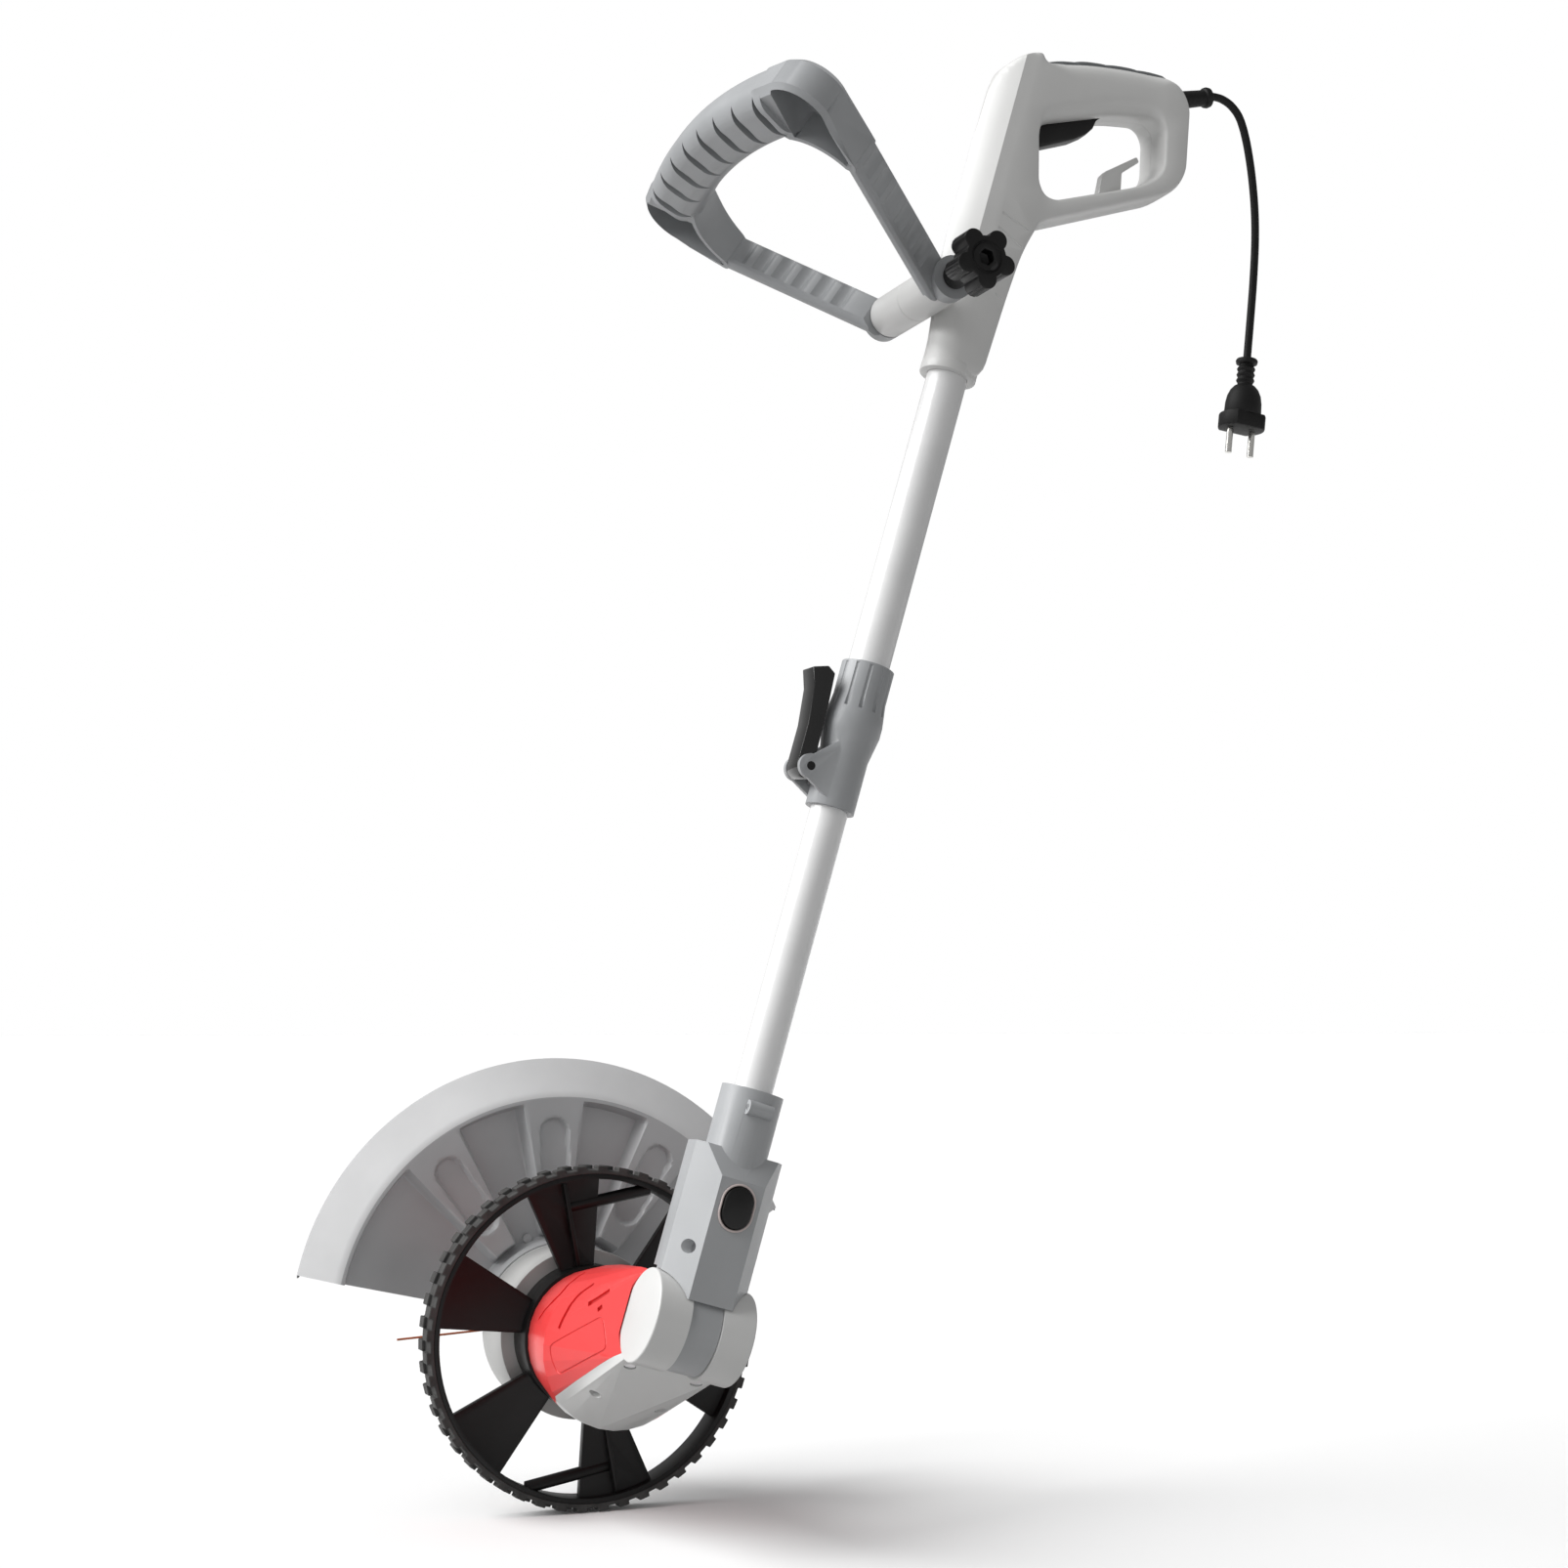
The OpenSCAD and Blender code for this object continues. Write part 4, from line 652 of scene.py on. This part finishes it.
def guard_height(r, turn):
    """Height of the guard's near face at a radius and an angle."""
    if r >= GUARD_STEP:
        return GUARD_TOP + (GUARD_RIM - GUARD_SKIN - GUARD_TOP) * (r - GUARD_STEP) / (GUARD_OUT - GUARD_STEP)
    off = turn - min(BANDS, key=lambda band: abs(turn - band))
    raised = eased(-SOFT / 2, SOFT, r * (BAND_HALF - abs(off))) * eased(BAND_IN - SOFT, BAND_IN + SOFT, r)
    along, across = r * math.cos(off), r * math.sin(off)
    away = math.hypot(along - min(max(along, RECESS_IN), RECESS_OUT), across)
    dip = RECESS_D * eased(RECESS_R + 1, RECESS_R - SOFT / 2, away) if away < RECESS_R + 1 else 0.0
    height = GUARD_PANEL + (GUARD_TOP - GUARD_PANEL) * raised + dip
    height += (GUARD_TOP - height) * eased(GUARD_STEP - 2 * SOFT, GUARD_STEP - SOFT, r)
    return height + (GUARD_COLLAR - height) * (1 - eased(GUARD_IN + SOFT / 2, GUARD_IN + 1.5 * SOFT, r))


class BuildGuard(bpy.types.Operator):
    """The spray guard: sunken panels, raised bands with recesses and a sloping skirt."""

    bl_idname = "trimmer.guard"
    bl_label = "Guard"

    def execute(self, context):
        rows = sizes().guard_rows
        radii = [GUARD_IN + (GUARD_STEP - GUARD_IN) * i / rows for i in range(rows + 1)]
        skirt = [GUARD_STEP + (GUARD_OUT - GUARD_STEP) * i / SKIRT_STEPS for i in range(1, SKIRT_STEPS + 1)]
        radii += skirt + [GUARD_OUT]
        columns = sizes().guard_columns
        turns = [GUARD_FROM + (GUARD_TO - GUARD_FROM) * i / columns for i in range(columns + 1)]
        turns = [turns[0], *turns, turns[-1]]
        bm = bmesh.new()
        bmesh.ops.create_grid(bm, x_segments=len(radii) - 1, y_segments=len(turns) - 1, size=1.0)
        for v in bm.verts:
            row, column = (round((c + 1) / 2 * (len(n) - 1)) for c, n in ((v.co.x, radii), (v.co.y, turns)))
            r, turn = radii[row], turns[column]
            edge = column in (0, len(turns) - 1) or row == len(radii) - 1
            v.co = (r * math.cos(turn), -r * math.sin(turn), GUARD_RIM if edge else guard_height(r, turn))
        bmesh.ops.recalc_face_normals(bm, faces=bm.faces)
        if sum(f.normal.z for f in bm.faces) > 0:
            bmesh.ops.reverse_faces(bm, faces=bm.faces)
        # Faces on the skirt get the lighter copy of the guard's plastic, which is painted light; the panels and the rim
        # keep the plastic's own colour
        for f in bm.faces:
            x, y, _ = f.calc_center_median()
            f.material_index = 1 if GUARD_STEP < math.hypot(x, y) < GUARD_OUT - RIM_LINE else 0
        guard = piece(bm, "guard_shell", MOTOR, "head", "guard_panel", ["guard"])
        # Second slot: the skirt's painted light
        guard.data.materials.append(FINISHES["guard_skirt_painted_light"])
        wall = guard.modifiers.new("wall", "SOLIDIFY")
        wall.thickness, wall.offset = GUARD_SKIN * MM, -1.0
        return {"FINISHED"}


# Vents and panel of the cover on its near side, mirrored on the far side, as places in the tool's frame
VENTS = [
    [(-54.5, 149, -24.6), (-53.4, 128.4, -7.5), (-46, 127.8, 6.4), (-36, 130.3, 16.4)],
    [(-53.8, 101.3, -25.3), (-52.3, 97.8, -11.6), (-49.2, 93.5, -0.1), (-44, 83.3, 10.5)],
    [(-47.4, 73.6, -3.7), (-45, 63.8, 1.9), (-42.4, 52.5, 9.2)],
    [(-44.4, 60.2, -5.6), (-43.2, 55.7, -2.2)],
]
COVER_PANEL = [(-54.6, 109.3, -38.8), (-42.4, 51.9, -8.3), (-38.8, 36.3, -28.3), (-47.2, 100.3, -56.9)]
PANEL_SOFT, PANEL_STEPS, PANEL_PARTS = 6, 5, 4
# How far the middle of a vent's cutter lies under the cover's skin, and points between two places of a vent
VENT_SINK, VENT_STEPS = 0.7, 4
# The hinge caps' radius and half width, how closely points have to match them, and steps of their rounding
CAP_R, CAP_X, CAP_R_FIT, CAP_X_FIT, CAP_STEPS = 32.0, 35.5, 0.3, 0.05, 5


class BuildMotorHead(bpy.types.Operator):
    """The motor's red cover with its vents, the white shell with its hinge caps, and the pot."""

    bl_idname = "trimmer.motor_head"
    bl_label = "Motor head"

    def execute(self, context):
        cover = dressed("motor_cover", "red_cover")
        back = TOOL.inverted()
        bm = node_copy("motor_cover")
        bmesh.ops.transform(bm, matrix=back, verts=bm.verts)
        skin = BVHTree.FromBMesh(bm)
        bm.free()

        def on_skin(points, side):
            line, _ = smooth_route([(-side * x, y, z) for x, y, z in points], VENT_STEPS)
            hits = [skin.find_nearest(p) for p in line]
            return [place - VENT_SINK * normal for place, normal, _, _ in hits]

        cutter = bmesh.new()
        for side in (-1, 1):
            for vent in VENTS:
                tube(cutter, on_skin(vent, side), sizes().vent)
            rim = softened([Vector(p) for p in COVER_PANEL], PANEL_SOFT, PANEL_STEPS)
            rim = [
                Vector(a).lerp(Vector(b), t / PANEL_PARTS)
                for a, b in zip(rim, rim[1:] + rim[:1]) for t in range(PANEL_PARTS)
            ]
            rim = [skin.find_nearest((-side * x, y, z))[0] for x, y, z in rim]
            tube(cutter, rim, sizes().panel_line, closed=True)
        bmesh.ops.transform(cutter, matrix=TOOL, verts=cutter.verts)
        carved(cover, cutter, FLAT_CREASE)
        bm = node_copy("motor_housing")

        def on_cap(v):
            p = back @ v.co
            return abs(abs(p.x) - CAP_X) < CAP_X_FIT and abs(math.hypot(p.y, p.z) - CAP_R) < CAP_R_FIT

        caps = [e for e in bm.edges if on_cap(e.verts[0]) and on_cap(e.verts[1]) and len(e.link_faces) == 2]
        bevelled(bm, caps, sizes().cap_edge, CAP_STEPS)
        bevelled(bm, sharp_edges(bm), sizes().edge)
        piece(
            bm, "motor_housing_skin", Matrix.Identity(4), "head", "white_shell", ["motor_housing"], sharp=FLAT_CREASE
        )
        dressed("motor_pot", "pot_grey")
        return {"FINISHED"}


# Outlines of the rear handle, as shares of its width and height
HANDLE_W, HANDLE_H, HANDLE_FRONT, HANDLE_Z, HANDLE_HALF = 168.0, 283.0, 31.0, 690.0, 20.0
HANDLE_SHARES = [
    (0.054, 0), (0.3, 0), (0.317, 0.24), (0.333, 0.37), (0.37, 0.455), (0.41, 0.482), (0.92, 0.686),
    (0.967, 0.718), (0.99, 0.767), (0.93, 0.943), (0.875, 0.982), (0.79, 1), (0.6, 0.975), (0.38, 0.933),
    (0.21, 0.884), (0.178, 0.907), (0.115, 0.888), (0.045, 0.846), (0.018, 0.79), (0, 0.576), (0.012, 0.3),
    (0.048, 0.085),
]
WINDOW_SHARES = [
    (0.25, 0.722), (0.322, 0.566), (0.362, 0.541), (0.415, 0.543), (0.788, 0.68), (0.871, 0.738),
    (0.823, 0.858), (0.763, 0.874), (0.592, 0.838),
]
TRIGGER_SHARES = [
    (0.262, 0.742), (0.287, 0.67), (0.45, 0.736), (0.5, 0.764), (0.526, 0.79), (0.536, 0.83), (0.536, 0.864),
    (0.32, 0.815),
]
# Rounding of the corners of the handle and of its window, and its steps
HANDLE_CORNER, WINDOW_CORNER, CORNER_STEPS = 15, 11, 5
# The trigger's travel, the room round it, and half the width of its slot
TRIGGER_TRAVEL, TRIGGER_ROOM, SLOT_HALF = 5.0, 1.2, 8.2
# Bores for the tube and the strain relief: radius and ends
TUBE_BORE = (14.9, (0, 0, 685), (0, 0, 766.2))
TUBE_BORE_SIDES = 64
RELIEF_BORE = (6.7, (121.0, 0, 967.9), (156.0, 0, 987.3))
# Screw holes: radius, ends across the handle, and sides
SCREW_R, SCREW_FROM, SCREW_TO, SCREW_SIDES = 3.7, 11, 30, 24
SCREW_SHARES = [(0.13, 0.5), (0.31, 0.5), (0.13, 0.8), (0.92, 0.76)]
INLAY_SHARES = [(0.21, 0.884), (0.38, 0.933), (0.6, 0.975), (0.79, 1)]
# Accent grooves on each side, as x and z in the tool's frame
HANDLE_GROOVES = [((0, 815.6), (22.7, 810.6)), ((0, 804), (21.8, 796.2)), ((8.9, 778.3), (20.1, 776.1)),
                  ((10.4, 755.7), (19.5, 752.6))]
GROOVE_R, GROOVE_Y = 0.9, 20.2
# Places across the handle and how far its outline draws in there
HANDLE_EDGE = [
    (0.12, 0.0), (3.0, 0.0), (6.0, 0.05), (9.0, 0.1), (12.0, 0.3), (14.5, 0.9), (16.8, 2.0), (18.6, 3.8),
    (19.6, 5.8), (HANDLE_HALF, 8.4),
]
# The front's ridge and crease, the end of the strip behind the crease, where across the handle the crease lies, how
# round the front is, the foot's radius, and the heights between which the foot's round turns into the wedge
NOSE_RIDGE, NOSE_CREASE, NOSE_STRIP, NOSE_Y, NOSE_BEND, FOOT_R = -29.4, -13.0, -1.5, 18.6, 1.35, 20.4
NOSE_FROM, NOSE_TO = 705.0, 765.0
# Softness of the edge off the grip, and what the grip adds; the grip's lower line as shares (height at a width, slope
# and fade), and where the grip begins and ends along x
SOFT_LEAST, SOFT_MORE = 0.40, 1.35
GRIP_B, GRIP_A, GRIP_SLOPE, GRIP_FADE = 0.70, 0.25, 0.26, 0.03
GRIP_START, GRIP_END = (4.0, 24.0), (86.0, 112.0)
# Profiles of radius and height: the foot's lip and sleeve, and half of the front handle's barrel
FOOT_PROFILE = [
    (14.9, 690), (19.6, 690), (20.3, 690.4), (20.6, 691.2), (20.6, 697), (20, 697.8), (19.4, 698.2), (19.2, 724),
    (14.9, 724),
]
BARREL_PROFILE = [(4.1, 0.15), (15.2, 0.15), (15.5, 0.5), (15.5, 46.2), (15.1, 47.4), (14, 48), (4.1, 48)]


def handle_points(shares):
    """Places in the tool's frame of shares of the handle's width and height."""
    return [(a * HANDLE_W - HANDLE_FRONT, HANDLE_Z + b * HANDLE_H) for a, b in shares]


def handle_softness(p):
    """How round the handle's edge is: crisp down its front, full over the grip."""
    a, b = (p.x + HANDLE_FRONT) / HANDLE_W, (p.y - HANDLE_Z) / HANDLE_H
    over = eased(0.0, GRIP_FADE, b - GRIP_B - GRIP_SLOPE * (a - GRIP_A))
    full = over * eased(*GRIP_START, p.x) * (1 - eased(*GRIP_END, p.x))
    return SOFT_LEAST + SOFT_MORE * full


def nosed(points, y):
    """An outline of the handle held behind its wedge-shaped front, which is round near the foot."""
    y = min(abs(y), HANDLE_HALF)
    wedge = NOSE_RIDGE + (NOSE_CREASE - NOSE_RIDGE) * min(1.0, y / NOSE_Y) ** NOSE_BEND
    wedge += (NOSE_STRIP - NOSE_CREASE) * max(0.0, (y - NOSE_Y) / (HANDLE_HALF - NOSE_Y))
    arc = -math.sqrt(FOOT_R ** 2 - y ** 2)
    return [(max(x, wedge + (arc - wedge) * (1 - eased(NOSE_FROM, NOSE_TO, z))), z) for x, z in points]


# The inlay's section: place across, height, rise and share of the wave there
INLAY_SECTION = [
    (-15, -7, 0, 0), (-15, -2.4, 0.5, 0.1), (-13.6, -1.2, 1.2, 0.5), (-9, -0.3, 1.7, 0.9), (0, 0, 1.9, 1),
    (9, -0.3, 1.7, 0.9), (13.6, -1.2, 1.2, 0.5), (15, -2.4, 0.5, 0.1), (15, -7, 0, 0),
]
# The inlay's waves: number, height and roundness, the length of its ends, and points between two places
INLAY_WAVES, WAVE_H, WAVE_BEND, INLAY_END, INLAY_STEPS = 4, 1.5, 0.6, 4.0, 16


class BuildRearHandle(bpy.types.Operator):
    """The closed rear handle: two rounded shells, foot, pivot barrel, inlay, trigger and cord hook."""

    bl_idname = "trimmer.rear_handle"
    bl_label = "Rear handle"

    def half(self, node, side):
        """One shell of the handle, with its slot, bores, grooves and screw holes cut out."""
        bm = bmesh.new()
        ends = []
        for shares, corner, way in ((HANDLE_SHARES, HANDLE_CORNER, 1), (WINDOW_SHARES, WINDOW_CORNER, -1)):
            points = softened(handle_points(shares), corner, CORNER_STEPS)
            rings = [
                [(x, side * y, z) for x, z in nosed(pushed(points, way * inset, handle_softness), y)]
                for y, inset in HANDLE_EDGE
            ]
            loops = lofted(bm, rings, capped=False)
            ends.append((loops[0], loops[-1]))
        for k in (0, 1):
            bmesh.ops.triangle_fill(bm, use_beauty=True, edges=ends[0][k] + ends[1][k])
        outwards(bm)
        obj = piece(bm, node + "_shell", TOOL, "handle", "white_shell", [node])
        cutter = bmesh.new()
        rest = handle_points(TRIGGER_SHARES)
        slot = rest + [
            (x - TRIGGER_TRAVEL * math.sin(LEAN), z + TRIGGER_TRAVEL * math.cos(LEAN)) for x, z in rest
        ]
        slot = [slot[i] for i in convex_hull_2d(slot)]
        drawn(cutter, pushed(slot, -TRIGGER_ROOM), -SLOT_HALF, SLOT_HALF)
        cylinder(cutter, *TUBE_BORE, TUBE_BORE_SIDES)
        cylinder(cutter, *RELIEF_BORE)
        for start, end in HANDLE_GROOVES:
            tube(cutter, [(x, side * GROOVE_Y, z) for x, z in (start, end)], GROOVE_R)
        if side > 0:
            for x, z in handle_points(SCREW_SHARES):
                cylinder(cutter, SCREW_R, (x, SCREW_FROM, z), (x, SCREW_TO, z), SCREW_SIDES)
        bmesh.ops.transform(cutter, matrix=TOOL, verts=cutter.verts)
        carved(obj, cutter)

    def inlay(self):
        """The wavy soft pad on top of the grip."""
        bm = bmesh.new()
        line, length = smooth_route([(x, 0, z) for x, z in handle_points(INLAY_SHARES)], INLAY_STEPS)
        rings, run = [], 0.0
        for i, p in enumerate(line):
            run += (p - line[i - 1]).length if i else 0.0
            way = (line[min(i + 1, len(line) - 1)] - line[max(i - 1, 0)]).normalized()
            up = Vector((-way.z, 0, way.x))
            end = min(1.0, run / INLAY_END, (length - run) / INLAY_END)
            wave = WAVE_H * abs(math.sin(math.pi * INLAY_WAVES * run / length)) ** WAVE_BEND
            rings.append([
                p + Vector((0, y, 0)) + up * (low + (rise + wave * crown) * end)
                for y, low, rise, crown in INLAY_SECTION
            ])
        lofted(bm, rings)
        outwards(bm)
        piece(bm, "grip_inlay_pad", TOOL, "handle", "soft_inlay", ["grip_inlay"])

    def execute(self, context):
        self.half("handle_left", -1)
        self.half("handle_right", 1)
        bm = bmesh.new()
        spun(bm, FOOT_PROFILE)
        outwards(bm)
        piece(bm, "handle_foot", TOOL, "handle", "white_shell", slot="shell_white")
        bm = bmesh.new()
        for side in (-1, 1):
            spun(bm, BARREL_PROFILE)
            if side < 0:
                bmesh.ops.scale(bm, vec=(1, 1, -1), verts=bm.verts)
        bmesh.ops.rotate(bm, cent=(0, 0, 0), matrix=Matrix.Rotation(QUARTER, 3, "X"), verts=bm.verts)
        bmesh.ops.translate(bm, vec=PIVOT, verts=bm.verts)
        outwards(bm)
        piece(bm, "pivot_barrel", TOOL, "handle", "white_shell", slot="shell_white")
        self.inlay()
        dressed("trigger", "black_shell")
        dressed("cord_hook", "white_shell")
        return {"FINISHED"}


# The star knob in the tool's frame, whose face looks to the near side
KNOB_FACE, KNOB_BACK, KNOB_CORE, KNOB_LOBE = -111.0, -89.0, 15.0, 7.0
KNOB_RING, KNOB_LOBES = 10.6, 5
# The ring groove's half width, sides and steps; the lobes' grooves: places in steps of an angle, how far they lie
# outside the lobe, half width, sides, and the room at the face and at the back
RING_R, RING_SIDES, RING_STEPS = 0.9, 10, 48
LOBE_PLACES, LOBE_STEP, LOBE_PROUD, LOBE_R, LOBE_SIDES = (-1.5, -0.5, 0.5, 1.5), 0.42, 0.35, 0.8, 12
LOBE_FACE_ROOM, LOBE_BACK_ROOM = 2, 5
# The wheel's ribs in the motor's frame
RIB_FROM, RIB_TO, RIB_W, RIB_PROUD, BLADE_HALF = 51.0, 114.6, 3.2, 5.0, 3.0
RIB_EDGE = 0.7
RIB_TURNS = [math.radians(-a) for a in (117, 297)]


class BuildFittings(bpy.types.Operator):
    """The star knob with its ribbed lobes, the clamp and its lever, and the wheel with its ribs."""

    bl_idname = "trimmer.fittings"
    bl_label = "Knob, clamp and wheel"

    def execute(self, context):
        knob = dressed("star_knob", "black_shell")
        cutter = bmesh.new()
        spun(cutter, [
            (KNOB_RING + RING_R * math.cos(TURN * k / RING_SIDES), KNOB_FACE + RING_R * math.sin(TURN * k / RING_SIDES))
            for k in range(RING_SIDES)
        ], RING_STEPS)
        bmesh.ops.rotate(cutter, cent=(0, 0, 0), matrix=Matrix.Rotation(-QUARTER, 3, "X"), verts=cutter.verts)
        for lobe in range(KNOB_LOBES):
            out = TURN * lobe / KNOB_LOBES
            for k in LOBE_PLACES:
                a = out + LOBE_STEP * k
                x = KNOB_CORE * math.cos(out) + (KNOB_LOBE + LOBE_PROUD) * math.cos(a)
                z = -KNOB_CORE * math.sin(out) - (KNOB_LOBE + LOBE_PROUD) * math.sin(a)
                start, end = (x, KNOB_FACE + LOBE_FACE_ROOM, z), (x, KNOB_BACK + LOBE_BACK_ROOM, z)
                cylinder(cutter, LOBE_R, start, end, LOBE_SIDES)
        bmesh.ops.translate(cutter, vec=(PIVOT.x, 0, PIVOT.z), verts=cutter.verts)
        bmesh.ops.transform(cutter, matrix=TOOL, verts=cutter.verts)
        carved(knob, cutter)
        dressed("clamp_body", "grey_shell")
        dressed("clamp_lever", "black_gloss")
        dressed("tilt_button", "black_shell")
        dressed("wheel", "black_shell")
        bm = bmesh.new()
        for turn in RIB_TURNS:
            box = bmesh.ops.create_cube(bm, size=1.0)["verts"]
            bmesh.ops.scale(bm, vec=(RIB_TO - RIB_FROM, RIB_W, RIB_PROUD + 2 * BLADE_HALF), verts=box)
            bmesh.ops.translate(bm, vec=((RIB_TO + RIB_FROM) / 2, 0, -RIB_PROUD / 2), verts=box)
            bmesh.ops.rotate(bm, cent=(0, 0, 0), matrix=Matrix.Rotation(turn, 3, "Z"), verts=box)
        bevelled(bm, sharp_edges(bm), RIB_EDGE)
        piece(bm, "wheel_ribs", MOTOR, "edging_wheel", "black_shell", slot="black_plastic")
        return {"FINISHED"}


class BuildRest(bpy.types.Operator):
    """Nodes that keep their own shapes, some with rounded edges."""

    bl_idname = "trimmer.rest"
    bl_label = "Plain pieces"

    def execute(self, context):
        for node, name in {
            "lower_tube": "white_tube", "upper_tube": "white_tube", "clamp_pin": "black_shell",
            "clamp_shoe": "grey_shell", "yoke_screws": "bare_steel", "hinge_pin": "bare_steel",
            "stator": "copper_wound", "bearing_bridge": "black_shell", "bearing_upper": "bare_steel",
            "bearing_lower": "bare_steel", "motor_shaft": "bare_steel", "rotor": "copper_wound",
            "fan": "black_shell", "housing_screws": "bare_steel", "guard_screws": "bare_steel",
            "line_cutter": "bare_steel", "line_spool": "black_shell", "cutting_lines": "line_orange",
            "handle_screws": "bare_steel", "switch_block": "black_shell", "pivot_bolt": "bare_steel",
        }.items():
            painted(node, name)
        for node, name in {
            "yoke_left": "yoke_grey", "yoke_right": "yoke_grey", "button_bezel": "bezel_pale",
            "tyre": "tread_rubber", "spool_housing": "black_shell", "bump_knob": "grey_shell",
            "front_handle": "grey_shell",
        }.items():
            dressed(node, name, sharp=FACET_CREASE)
        return {"FINISHED"}


class TrimmerPanel(bpy.types.Panel):
    """Steps and settings of the trimmer's looks."""

    bl_idname = "VIEW3D_PT_trimmer"
    bl_label = "Wheeled string trimmer"
    bl_space_type = "VIEW_3D"
    bl_region_type = "UI"
    bl_category = "Trimmer"

    def draw(self, context):
        layout = self.layout
        for group in (sizes(), colours(), stage()):
            box = layout.box()
            for name in group.__annotations__:
                box.prop(group, name)
        for step in STEPS:
            layout.operator(step.bl_idname)


STEPS = (BuildStage, BuildFinishes, BuildLead, BuildMotorHead, BuildGuard, BuildRearHandle, BuildFittings, BuildRest)
GROUPS = {"trimmer_sizes": TrimmerSizes, "trimmer_colours": TrimmerColours, "trimmer_stage": StageSettings}


def register():
    for cls in (*GROUPS.values(), *STEPS, TrimmerPanel):
        bpy.utils.register_class(cls)
    for name, cls in GROUPS.items():
        setattr(bpy.types.Scene, name, PointerProperty(type=cls))


def unregister():
    for name in GROUPS:
        delattr(bpy.types.Scene, name)
    for cls in (TrimmerPanel, *reversed(STEPS), *GROUPS.values()):
        bpy.utils.unregister_class(cls)


def main():
    register()
    for step in STEPS:
        group, name = step.bl_idname.split(".")
        getattr(getattr(bpy.ops, group), name)()


if __name__ == "__main__":
    main()
